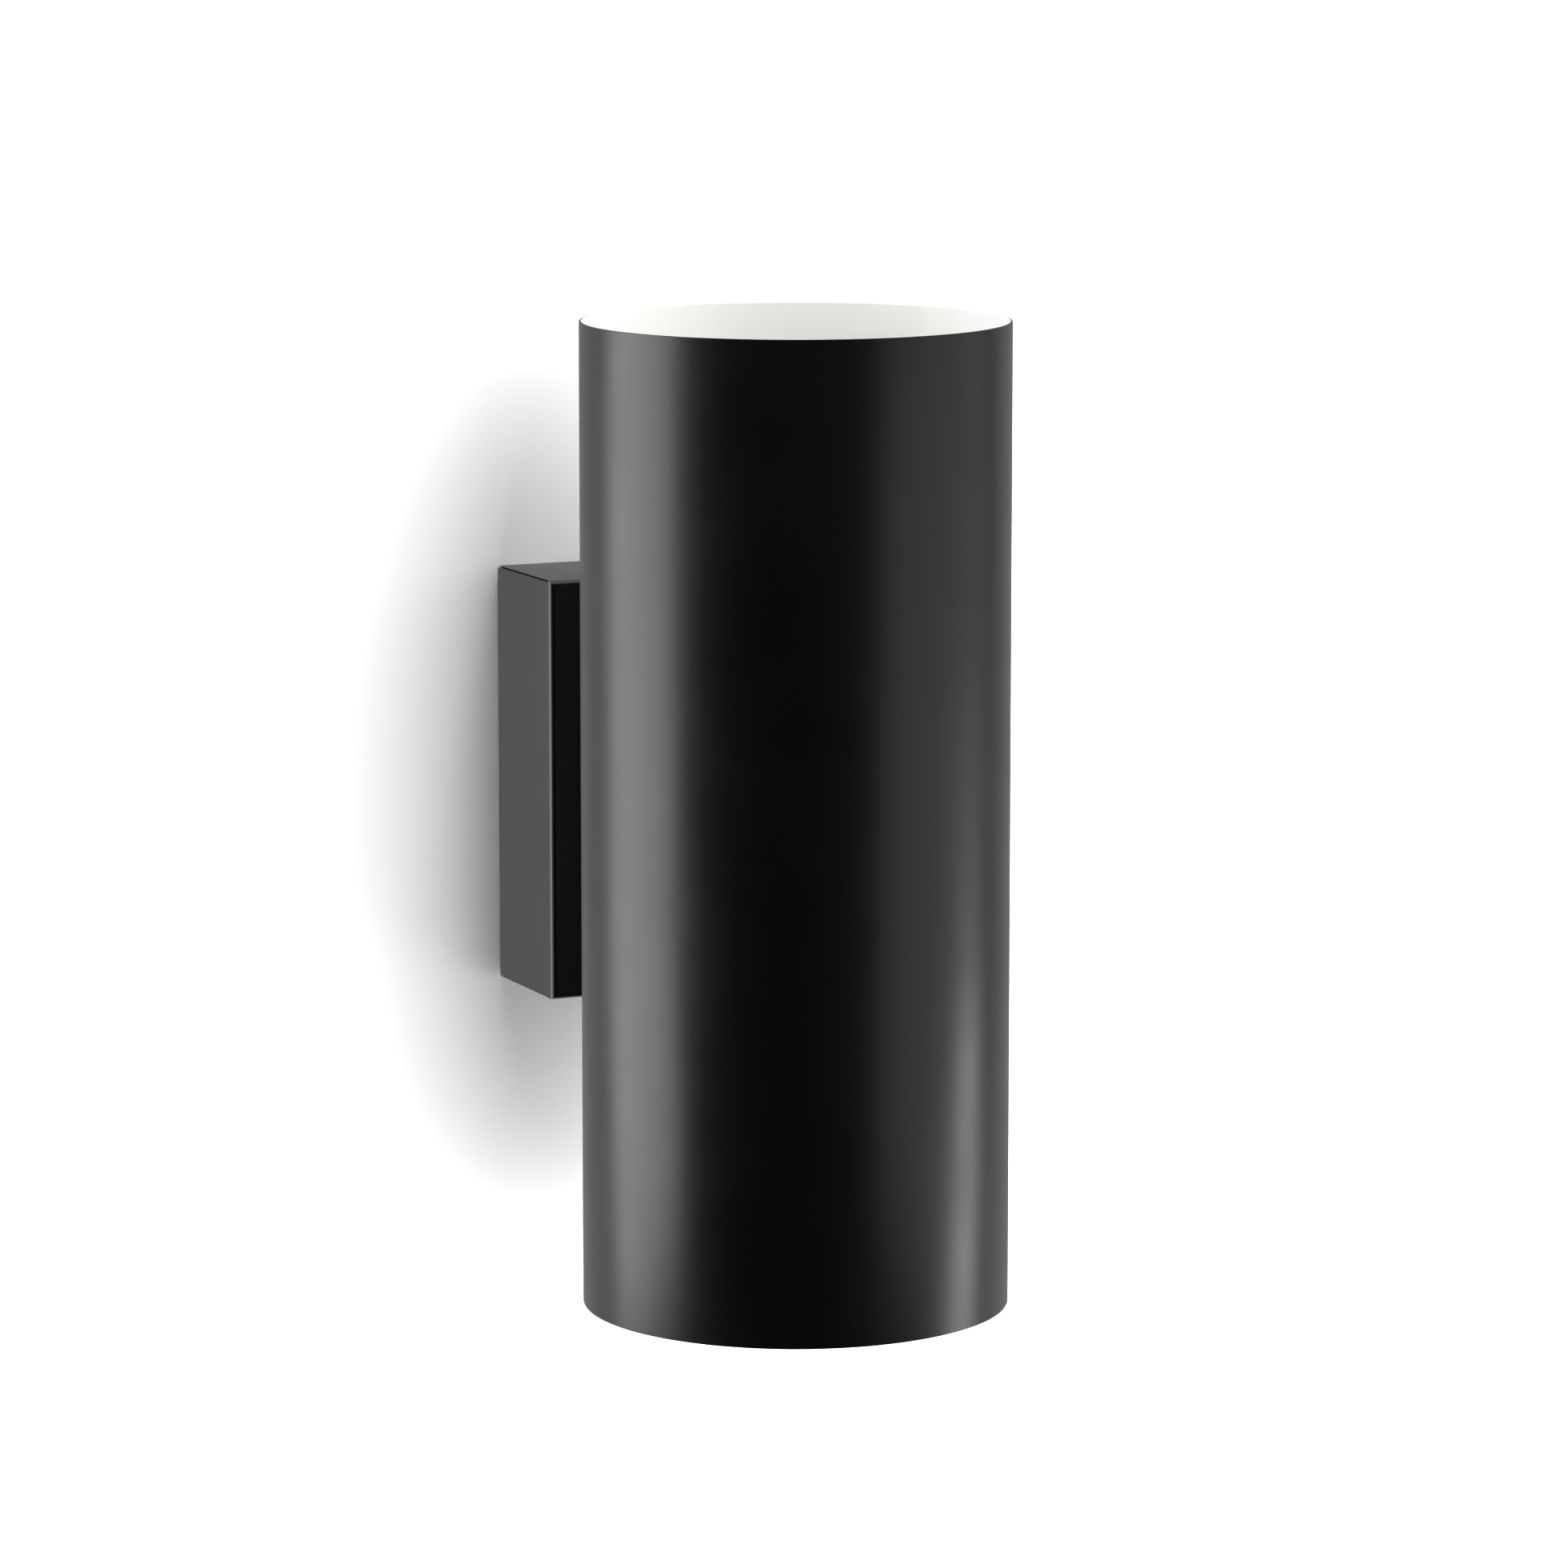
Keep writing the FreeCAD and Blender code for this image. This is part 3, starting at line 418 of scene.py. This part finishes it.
for z_side in (-1, 1):
    start, end = sorted((z_side * (canopy_high.z - 2 * CANOPY_SHEET),
                         z_side * (canopy_high.z + CANOPY_SHEET)))
    slot = block_mesh((-SLOT_HALF_WIDTH, lock_screw_y, start), (SLOT_HALF_WIDTH, BEHIND_CANOPY, end))
    cut_away(canopy, slot)
    round_end = rod_mesh(SLOT_HALF_WIDTH / MM, start / MM, end / MM)
    bmesh.ops.transform(round_end, matrix=Matrix.Translation((0, lock_screw_y, 0)), verts=round_end.verts)
    cut_away(canopy, round_end)
break_edges(canopy, CANOPY_BREAK)
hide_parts("canopy")


# ---- Saddle
# A cast aluminium spacer, flat against the canopy and hollowed to the tube's round back.
# The two tube screws clamp it between them. It is coated black with the rest.

finish_node("saddle", black_coat)


# ---- Tube
# Extruded aluminium, cut square and deburred, with three holes at the back for its screws and its wires.
# It is black outside and white inside. The white coat goes over part of the cut rim, and the black
# wraps the rim's outer edge as a hair line.

TUBE_SIDES = 256
TUBE_WALL = 1.2
# The break at each edge of the rim, and the share of it at which its middle lies.
RIM_BREAK = 0.25
RIM_ROUND = 0.3
BLACK_OVER_RIM = 0.6
# The tube's skin has an edge all round at this height, above and below the holes.
HOLES_WITHIN = 30
SCREW_HOLE_RADIUS = 2.25
SCREW_HOLE_HEIGHT = 14
BUSH_HOLE_RADIUS = 5.05
DRILL_REACH = 3
# The drills are turned a little, so that none of their edges falls on an edge of the tube's mesh.
DRILL_TURN_DEGREES = 2.4


def white_coat():
    """White powder coat, satin, that throws the lamp's light out of the tube."""
    material, shader = start_material("satin white powder coat", "#FAFAF8", ior=1.5)
    vary(shader, 20, detail=2.0, gloss=(0.44, 0.5))
    vary(shader, 1.6, detail=2.0, relief_mm=0.006)
    return material


white = white_coat()
tube_low, tube_high = (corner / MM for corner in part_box("tube"))
tube_radius = (tube_high.x - tube_low.x) / 2
tube_axis_y = (tube_low.y + tube_high.y) / 2
inner = tube_radius - TUBE_WALL
half_height = tube_high.z
outline = []
for z_side in (-1, 1):
    rim = [
        (tube_radius, z_side * (half_height - RIM_BREAK)),
        (tube_radius - RIM_BREAK * RIM_ROUND, z_side * (half_height - RIM_BREAK * RIM_ROUND)),
        (tube_radius - RIM_BREAK, z_side * half_height),
        (tube_radius - BLACK_OVER_RIM, z_side * half_height),
        (inner + RIM_BREAK, z_side * half_height),
        (inner + RIM_BREAK * RIM_ROUND, z_side * (half_height - RIM_BREAK * RIM_ROUND)),
        (inner, z_side * (half_height - RIM_BREAK)),
    ]
    outline += rim if z_side > 0 else rim[::-1]
    skin = inner if z_side > 0 else tube_radius
    outline += [(skin, z_side * HOLES_WITHIN), (skin, -z_side * HOLES_WITHIN)]
tube_mesh = turned_mesh(outline, TUBE_SIDES)
for face in tube_mesh.faces:
    middle = face.calc_center_median() / MM
    face.material_index = 0 if math.hypot(middle.x, middle.y) > tube_radius - BLACK_OVER_RIM else 1
bmesh.ops.transform(tube_mesh, matrix=Matrix.Translation((0, tube_axis_y * MM, 0)), verts=tube_mesh.verts)
tube = new_piece("tube_coated", tube_mesh, "fitting", [black_coat, white])
lean = Matrix.Rotation(math.pi / 2, 4, "X") @ Matrix.Rotation(math.radians(DRILL_TURN_DEGREES), 4, "Z")
for radius, height in ((SCREW_HOLE_RADIUS, SCREW_HOLE_HEIGHT), (SCREW_HOLE_RADIUS, -SCREW_HOLE_HEIGHT),
                       (BUSH_HOLE_RADIUS, 0)):
    drill = rod_mesh(radius, -DRILL_REACH, DRILL_REACH, THREAD_SIDES)
    at_back = Matrix.Translation((0, (tube_axis_y + tube_radius) * MM, height * MM))
    bmesh.ops.transform(drill, matrix=at_back @ lean, verts=drill.verts)
    cut_away(tube, drill)
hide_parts("tube")


# ---- Lampholder bracket, its nuts, screws and washers
# A strip of zinc plated steel folded to a C inside the tube, with a press nut at each of two holes.
# Two M4 screws with washers, driven from inside the canopy, pull it against the tube.

for name in ("lampholder_bracket", "press_nuts", "tube_screws", "tube_washers"):
    finish_node(name, zinc)


# ---- Wire bush
# Natural nylon, moulded. It is flanged inside the tube and has a barb that snaps into the canopy.
# The wires to the lampholders pass through it and are kept off the edges of the holes.


def natural_nylon():
    """Unpigmented nylon: ivory and a little see-through at thin edges, with a 0.8 mm moulding texture."""
    material, shader = start_material("natural nylon", "#E7E2D3", roughness=0.42, ior=1.53,
                                      subsurface_weight=0.25, subsurface_scale=0.002,
                                      subsurface_radius=(1.0, 0.9, 0.8))
    vary(shader, 7, shades=("#E3DDCC", "#ECE8DC"))
    vary(shader, 0.8, relief_mm=0.01)
    return material


nylon = natural_nylon()
finish_node("wire_bush", nylon)


# ---- Lampholders
# Each is a white heat-proof thermoplastic body, held on the bracket by two screws.
# In it sit a pressed brass shell with a rolled thread, which takes the lamp's cap, and a bronze spring
# as the centre contact.

CAP_PITCH = 3.629
THREAD_HALF_DEPTH = 0.45
SHELL_SHEET = 0.4
SHELL_STEPS = 12
FOOT_HOLE_RADIUS = 11.0
FOOT_TOP = 2 * SHELL_SHEET
# The smooth end of a shell reaches this far into its threaded part.
LAP = 0.02


def white_thermoplastic():
    """Glass-filled white plastic: matt, with a faint 1 mm flow texture."""
    material, shader = start_material("white thermoplastic", "#EBEAE5", ior=1.55)
    vary(shader, 6, gloss=(0.46, 0.58))
    vary(shader, 11, shades=("#E8E7E1", "#EFEEEA"))
    vary(shader, 1.0, relief_mm=0.01)
    return material


def pressed_brass():
    """Brass sheet: warm, bright, with a little tarnish in 3 mm patches."""
    material, shader = start_material("pressed brass", "#D8B46B", metallic=1.0)
    vary(shader, 3, shades=("#C9A25A", "#DDBC77"), gloss=(0.22, 0.36))
    return material


def phosphor_bronze():
    """Rolled spring bronze: redder than brass, with 0.2 mm rolling lines."""
    material, shader = start_material("phosphor bronze", "#BF8A5F", metallic=1.0)
    vary(shader, 0.2, stretch=(20, 1, 1), gloss=(0.24, 0.38))
    vary(shader, 2, shades=("#B5805A", "#C89468"))
    return material


def seat_for(side, height_mm):
    """Where a piece built about Z goes: up the tube's axis, and turned over for the lower end."""
    axis = Matrix.Translation((0, tube_axis_y * MM, 0))
    turned_over = Matrix.Rotation(math.pi if side == "lower" else 0, 4, "X")
    return axis @ turned_over @ Matrix.Translation((0, 0, height_mm * MM))


def from_middle(side, node_name):
    """A node's nearest and furthest distance from the tube's middle level, in millimetres."""
    low, high = (corner.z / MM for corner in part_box(node_name))
    return (low, high) if side == "upper" else (-high, -low)


def shell_mesh(radius_mm, low_mm, high_mm):
    """A thin screw shell, open at both ends, with a round helical thread in both faces of its sheet.

    The thread fades out over half a pitch at each end.
    """
    mesh = bmesh.new()
    count = round((high_mm - low_mm) / CAP_PITCH * SHELL_STEPS)
    skins = []
    for offset in (0.0, SHELL_SHEET):
        rows = []
        for row in range(count + 1):
            height = low_mm + (high_mm - low_mm) * row / count
            fade = min(1.0, min(height - low_mm, high_mm - height) / (CAP_PITCH / 2))
            ring = []
            for side in range(RING_SIDES):
                wave = math.cos(2 * math.pi * (height / CAP_PITCH - side / RING_SIDES))
                radius = radius_mm + offset + THREAD_HALF_DEPTH * wave * fade
                ring.append(mesh.verts.new(round_point(radius, 2 * math.pi * side / RING_SIDES, height)))
            rows.append(ring)
        skins.append(rows)
    inner_rows, outer_rows = skins
    for side in range(RING_SIDES):
        after = (side + 1) % RING_SIDES
        for row in range(count):
            mesh.faces.new((inner_rows[row][after], inner_rows[row][side],
                            inner_rows[row + 1][side], inner_rows[row + 1][after]))
            mesh.faces.new((outer_rows[row][side], outer_rows[row][after],
                            outer_rows[row + 1][after], outer_rows[row + 1][side]))
        for row in (0, count):
            mesh.faces.new((inner_rows[row][side], inner_rows[row][after],
                            outer_rows[row][after], outer_rows[row][side]))
    bmesh.ops.recalc_face_normals(mesh, faces=mesh.faces)
    return mesh


thermoplastic = white_thermoplastic()
brass = pressed_brass()
bronze = phosphor_bronze()
for side in ("upper", "lower"):
    finish_node(side + "_holder_body", thermoplastic)
    finish_node(side + "_holder_spring", bronze)
    near, far = from_middle(side, side + "_holder_shell")
    shell_low, shell_high = (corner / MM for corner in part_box(side + "_holder_shell"))
    mean = (shell_high.x - shell_low.x) / 2 - SHELL_SHEET - THREAD_HALF_DEPTH
    foot = turned_mesh([
        (FOOT_HOLE_RADIUS, 0),
        (mean + SHELL_SHEET, 0),
        (mean + SHELL_SHEET, FOOT_TOP + LAP),
        (mean, FOOT_TOP + LAP),
        (mean, SHELL_SHEET),
        (FOOT_HOLE_RADIUS, SHELL_SHEET),
    ])
    shell = join_meshes(shell_mesh(mean, FOOT_TOP, far - near), foot)
    bmesh.ops.transform(shell, matrix=seat_for(side, near), verts=shell.verts)
    piece = new_piece(side + "_holder_shell_threaded", shell, "fitting", [brass])
    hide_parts(side + "_holder_shell")
finish_node("holder_terminal_screws", zinc)
finish_node("holder_fixing_screws", zinc)


# ---- Lamps
# Two mini globes: a blown opal globe on a moulded neck, crimped into a nickel plated brass screw cap.
# Under the cap is a ring of black glass with a tinned contact in it. The lamps are shown unlit.

GLOBE_RADIUS = 22.5
GLOBE_WALL = 1.0
GLOBE_STEPS = 40
GLOBE_INSIDE_STEPS = 32
GLOBE_BREAK = 0.3
COLLAR_HEIGHT = 2.0


def opal_plastic():
    """Milky blown plastic: light goes a few millimetres into it, so its shade edges are soft."""
    material, shader = start_material("opal plastic", "#DCDAD4", roughness=0.28, ior=1.5,
                                      subsurface_weight=0.6, subsurface_scale=0.004,
                                      subsurface_radius=(1.0, 0.95, 0.9))
    vary(shader, 14, shades=("#D9D7D0", "#DFDDD8"))
    vary(shader, 5, detail=1.0, relief_mm=0.01)
    return material


def lamp_plastic():
    """Satin white moulded plastic with a fine 0.7 mm texture."""
    material, shader = start_material("lamp neck plastic", "#E2E1DC", ior=1.5)
    vary(shader, 8, gloss=(0.34, 0.42))
    vary(shader, 0.7, relief_mm=0.008)
    return material


def nickel_plate():
    """Nickel over brass: a warm grey mirror that handling has dulled in 4 mm patches."""
    material, shader = start_material("nickel plated brass", "#C9C4BA", metallic=1.0)
    vary(shader, 4, shades=("#BDB8AE", "#D0CCC4"), gloss=(0.16, 0.3))
    return material


def tinned_metal():
    """Tin over copper: pale, soft in reflection, uneven where the solder set."""
    material, shader = start_material("tinned metal", "#C6C6C3", metallic=1.0)
    vary(shader, 0.9, gloss=(0.28, 0.46), relief_mm=0.03)
    return material


def black_glass():
    """Pressed black glass under the cap, glossy with slight flow marks."""
    material, shader = start_material("black glass", "#0B0B0D", ior=1.52)
    vary(shader, 2.5, gloss=(0.06, 0.16), relief_mm=0.02)
    return material


def solder_resist():
    """The smooth white lacquer on the light board, with a 3 mm drift in its gloss."""
    material, shader = start_material("white solder resist", "#F0F0EC", ior=1.5)
    vary(shader, 3, gloss=(0.3, 0.42))
    return material


def globe_outline(radius_mm, centre_mm, count):
    """(radius, height) points round a globe, from level 0 to its top."""
    start = -math.degrees(math.asin(centre_mm / radius_mm))
    points = []
    for step in range(count + 1):
        angle = math.radians(start + (90 - start) * step / count)
        points.append((max(0.0, radius_mm * math.cos(angle)), centre_mm + radius_mm * math.sin(angle)))
    return points


opal = opal_plastic()
neck_plastic = lamp_plastic()
nickel = nickel_plate()
tin = tinned_metal()
glass = black_glass()
resist = solder_resist()
for side in ("upper", "lower"):
    body = side + " lamp"
    near, far = from_middle(side, side + "_lamp_globe")
    centre = far - near - GLOBE_RADIUS
    outside = globe_outline(GLOBE_RADIUS, centre, GLOBE_STEPS)
    inside = globe_outline(GLOBE_RADIUS - GLOBE_WALL, centre, GLOBE_INSIDE_STEPS)
    ball = turned_mesh(outside + inside[::-1])
    bmesh.ops.transform(ball, matrix=seat_for(side, near), verts=ball.verts)
    globe = new_piece(side + "_lamp_globe_opal", ball, body, [opal])
    break_edges(globe, GLOBE_BREAK, segments=3)
    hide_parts(side + "_lamp_globe")
    finish_node(side + "_lamp_housing", neck_plastic)
    finish_node(side + "_lamp_board", resist)
    near, far = from_middle(side, side + "_lamp_cap")
    cap_low, cap_high = (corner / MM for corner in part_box(side + "_lamp_cap"))
    mean = (cap_high.x - cap_low.x) / 2 - THREAD_HALF_DEPTH - SHELL_SHEET
    length = far - near
    threaded = length - COLLAR_HEIGHT
    collar = turned_mesh([(mean, threaded - LAP), (mean + SHELL_SHEET, threaded - LAP),
                          (mean + SHELL_SHEET, length), (mean, length)])
    cap_mesh = join_meshes(shell_mesh(mean, 0, threaded), collar)
    bmesh.ops.transform(cap_mesh, matrix=seat_for(side, near), verts=cap_mesh.verts)
    cap = new_piece(side + "_lamp_cap_threaded", cap_mesh, body, [nickel])
    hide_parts(side + "_lamp_cap")
    finish_node(side + "_lamp_insulator", glass)
    finish_node(side + "_lamp_contact", tin)


# ---- Terminal block
# Moulded nylon with three brass tubes, each with two clamp screws. It takes the supply cable's conductors.
# It hangs on two studs that are welded to the canopy, with a nut on each.

finish_node("terminal_block", nylon)
finish_node("terminal_inserts", brass)
for name in ("terminal_clamp_screws", "terminal_studs", "terminal_nuts"):
    finish_node(name, zinc)


# ---- Earth terminal
# A zinc plated steel stud that is welded to the canopy, with a washer and a nut of the same finish.
# They clamp a tinned copper ring terminal, which is crimped to the earth wire.

for name in ("earth_stud", "earth_washer", "earth_nut"):
    finish_node(name, zinc)
finish_node("earth_ring_terminal", tin)


# ---- Inner wires
# Silicone insulated wires, 2 mm across: brown for live, blue for neutral, green and yellow for earth.
# They run from the terminal block through the wire bush to both lampholders, and to the earth stud.

STRIPE_STOPS = (0.42, 0.5)


def silicone(name, colour, shade):
    """Extruded silicone: soft satin, one colour with a slight drift along 6 mm."""
    material, shader = start_material(name, colour, roughness=0.44, ior=1.43)
    vary(shader, 6, shades=(shade, colour))
    vary(shader, 0.5, relief_mm=0.006)
    return material


def earth_silicone():
    """Green insulation with a yellow stripe down the side that faces the wall."""
    green = "#2F8A3A"
    yellow = "#E8C81E"
    material, shader = start_material("green and yellow silicone", green, roughness=0.44, ior=1.43)
    tree = material.node_tree
    facing = add_node(tree, "ShaderNodeNewGeometry")
    parts = add_node(tree, "ShaderNodeSeparateXYZ", [], [("Vector", facing, "Normal")])
    stripe = add_node(tree, "ShaderNodeMapRange",
                      [("From Min", STRIPE_STOPS[0]), ("From Max", STRIPE_STOPS[1])],
                      [("Value", parts, "Y")])
    colour = add_node(tree, "ShaderNodeMix",
                      [("data_type", "RGBA"), (6, to_linear(green)), (7, to_linear(yellow))],
                      [(0, stripe, "Result")])
    tree.links.new(colour.outputs[2], shader.inputs["Base Color"])
    vary(shader, 0.5, relief_mm=0.006)
    return material


brown = silicone("brown silicone", "#6A3A22", "#5B301C")
blue = silicone("blue silicone", "#2A5FB4", "#2353A2")
for side in ("upper", "lower"):
    finish_node(side + "_live_wire", brown)
    finish_node(side + "_neutral_wire", blue)
finish_node("earth_wire", earth_silicone())


# ---- Wall and floor
# A plain white wall behind the bracket and a plain pale floor well below. Both keep the light's shadow.
# Seen from behind they are clear, so that the back of the light can be looked at.

WALL_Y = 0.0006
ROOM_REACH = 1.2
FLOOR_Z = -1.6
WALL_EXPOSURE = 3.0
FLOOR_EXPOSURE = 1.6


def matt_white_paint(name, colour, exposure):
    """Emulsion paint that the camera alone sees brighter, so that the wall runs to white past the shadow."""
    material = bpy.data.materials.new(name)
    material.use_nodes = True
    tree = material.node_tree
    tree.nodes.remove(tree.nodes["Principled BSDF"])
    path = add_node(tree, "ShaderNodeLightPath")
    bright = [channel * exposure for channel in to_linear(colour)[:3]] + [1.0]
    seen = add_node(tree, "ShaderNodeMix", [("data_type", "RGBA"), (6, to_linear(colour)), (7, bright)],
                    [(0, path, "Is Camera Ray")])
    paint = add_node(tree, "ShaderNodeBsdfDiffuse", [("Roughness", 1.0)], [("Color", seen, 2)])
    clear = add_node(tree, "ShaderNodeBsdfTransparent")
    facing = add_node(tree, "ShaderNodeNewGeometry")
    chosen = add_node(tree, "ShaderNodeMixShader", [],
                      [(0, facing, "Backfacing"), (1, paint, "BSDF"), (2, clear, "BSDF")])
    tree.links.new(chosen.outputs["Shader"], tree.nodes["Material Output"].inputs["Surface"])
    return material


def flat_sheet(name, corners, material):
    """One flat sheet of the stage."""
    mesh = bpy.data.meshes.new(name)
    mesh.from_pydata(corners, [], [tuple(range(len(corners)))])
    mesh.materials.append(material)
    sheet_object = bpy.data.objects.new(name, mesh)
    bpy.context.scene.collection.objects.link(sheet_object)
    return sheet_object


wall = flat_sheet("wall", [(-ROOM_REACH, WALL_Y, FLOOR_Z), (ROOM_REACH, WALL_Y, FLOOR_Z),
                           (ROOM_REACH, WALL_Y, ROOM_REACH), (-ROOM_REACH, WALL_Y, ROOM_REACH)],
                  matt_white_paint("wall paint", "#F4F4F4", WALL_EXPOSURE))
wall.visible_shadow = False
wall.visible_glossy = False
floor = flat_sheet("floor", [(-ROOM_REACH, -2 * ROOM_REACH, FLOOR_Z), (ROOM_REACH, -2 * ROOM_REACH, FLOOR_Z),
                             (ROOM_REACH, WALL_Y, FLOOR_Z), (-ROOM_REACH, WALL_Y, FLOOR_Z)],
                   matt_white_paint("floor paint", "#ECECEA", FLOOR_EXPOSURE))
floor.visible_glossy = False
floor.visible_diffuse = False


# ---- Studio light
# Four soft boxes: a tall one to the left behind the wall's line, a wide and a small one to the right in
# front, and one high above that lights the inside of the tube. The room round them is plain white to the
# camera and through clear things, and it also lights the object with a soft light of its own.

# The room lights the object from the side of this direction. Its edge is given as cosines to it.
BRIGHT_SIDE = (0.985, 0.12, -0.08)
BRIGHT_EDGE = (-0.25, -0.2)
ROOM_DARK = 0.0
ROOM_BRIGHT = 1.25
# In reflections the room is nearly black in front, so that the coat stays black, and half bright behind.
BACK_EDGE = (0.0, 0.4)
GLOSS_FRONT = 0.01
GLOSS_BACK = 0.47
# Name, place in metres, width and height in metres, power in watts.
SOFT_BOXES = (
    ("left_soft_box", (-1.05, 0.37, 0.0), 1.0, 1.44, 15.3),
    ("right_soft_box", (1.34, -0.95, -0.1), 2.3, 1.8, 8.6),
    ("low_soft_box", (1.1, -0.28, -0.6), 0.35, 0.7, 2.5),
    ("top_soft_box", (0.0, -0.1, 2.0), 1.2, 1.0, 30.0),
)
scene = bpy.context.scene
world = bpy.data.worlds.new("white studio")
scene.world = world
world.use_nodes = True
tree = world.node_tree
backdrop = tree.nodes["Background"]
path = add_node(tree, "ShaderNodeLightPath")
direction = add_node(tree, "ShaderNodeTexCoord")
parts = add_node(tree, "ShaderNodeSeparateXYZ", [], [("Vector", direction, "Generated")])
towards = add_node(tree, "ShaderNodeVectorMath", [("operation", "DOT_PRODUCT"), (1, BRIGHT_SIDE)],
                   [(0, direction, "Generated")])
to_bright = add_node(tree, "ShaderNodeMapRange",
                     [("From Min", BRIGHT_EDGE[0]), ("From Max", BRIGHT_EDGE[1]),
                      ("To Min", ROOM_DARK), ("To Max", ROOM_BRIGHT)],
                     [("Value", towards, "Value")])
to_back = add_node(tree, "ShaderNodeMapRange",
                   [("From Min", BACK_EDGE[0]), ("From Max", BACK_EDGE[1]),
                    ("To Min", GLOSS_FRONT), ("To Max", GLOSS_BACK)],
                   [("Value", parts, "Y")])
lit = add_node(tree, "ShaderNodeMix", [("data_type", "FLOAT")],
               [(0, path, "Is Glossy Ray"), (2, to_bright, "Result"), (3, to_back, "Result")])
straight = add_node(tree, "ShaderNodeMath", [("operation", "MAXIMUM")],
                    [(0, path, "Is Camera Ray"), (1, path, "Is Transmission Ray")])
strength = add_node(tree, "ShaderNodeMix", [("data_type", "FLOAT"), (3, 1.0)],
                    [(0, straight, "Value"), (2, lit, 0)])
tree.links.new(strength.outputs[0], backdrop.inputs["Strength"])
backdrop.inputs["Color"].default_value = (1, 1, 1, 1)
aim = Vector((0, tube_axis_y * MM, 0))
for name, place, width, height, watts in SOFT_BOXES:
    light = bpy.data.lights.new(name, "AREA")
    light.shape = "RECTANGLE"
    light.size = width
    light.size_y = height
    light.energy = watts
    soft_box = bpy.data.objects.new(name, light)
    soft_box.location = place
    soft_box.rotation_mode = "QUATERNION"
    soft_box.rotation_quaternion = (aim - Vector(place)).to_track_quat("-Z", "Y")
    soft_box.visible_camera = False
    scene.collection.objects.link(soft_box)


# ---- Camera
# It stands to the left of the light and a little above it, and looks down by nine degrees at the tube's
# middle. Its long lens keeps the tube's edges nearly upright, as in the photograph. The picture is
# square, and the two small offsets place the light in it.

VIEW_AZIMUTH = math.radians(24.24)
VIEW_PITCH = math.radians(9.08)
VIEW_DISTANCE = 1.6794
LENS_MM = 150.45
AIM_RIGHT = -0.00299
AIM_UP = 0.00794
forward = Vector((math.sin(VIEW_AZIMUTH) * math.cos(VIEW_PITCH),
                  math.cos(VIEW_AZIMUTH) * math.cos(VIEW_PITCH), -math.sin(VIEW_PITCH)))
right = Vector((math.cos(VIEW_AZIMUTH), -math.sin(VIEW_AZIMUTH), 0))
up = right.cross(forward)
camera_data = bpy.data.cameras.new("camera")
camera_data.lens = LENS_MM
camera = bpy.data.objects.new("camera", camera_data)
camera.location = aim - VIEW_DISTANCE * forward + AIM_RIGHT * right + AIM_UP * up
camera.rotation_mode = "QUATERNION"
camera.rotation_quaternion = forward.to_track_quat("-Z", "Y")
scene.collection.objects.link(camera)
scene.camera = camera
scene.view_settings.view_transform = "Standard"
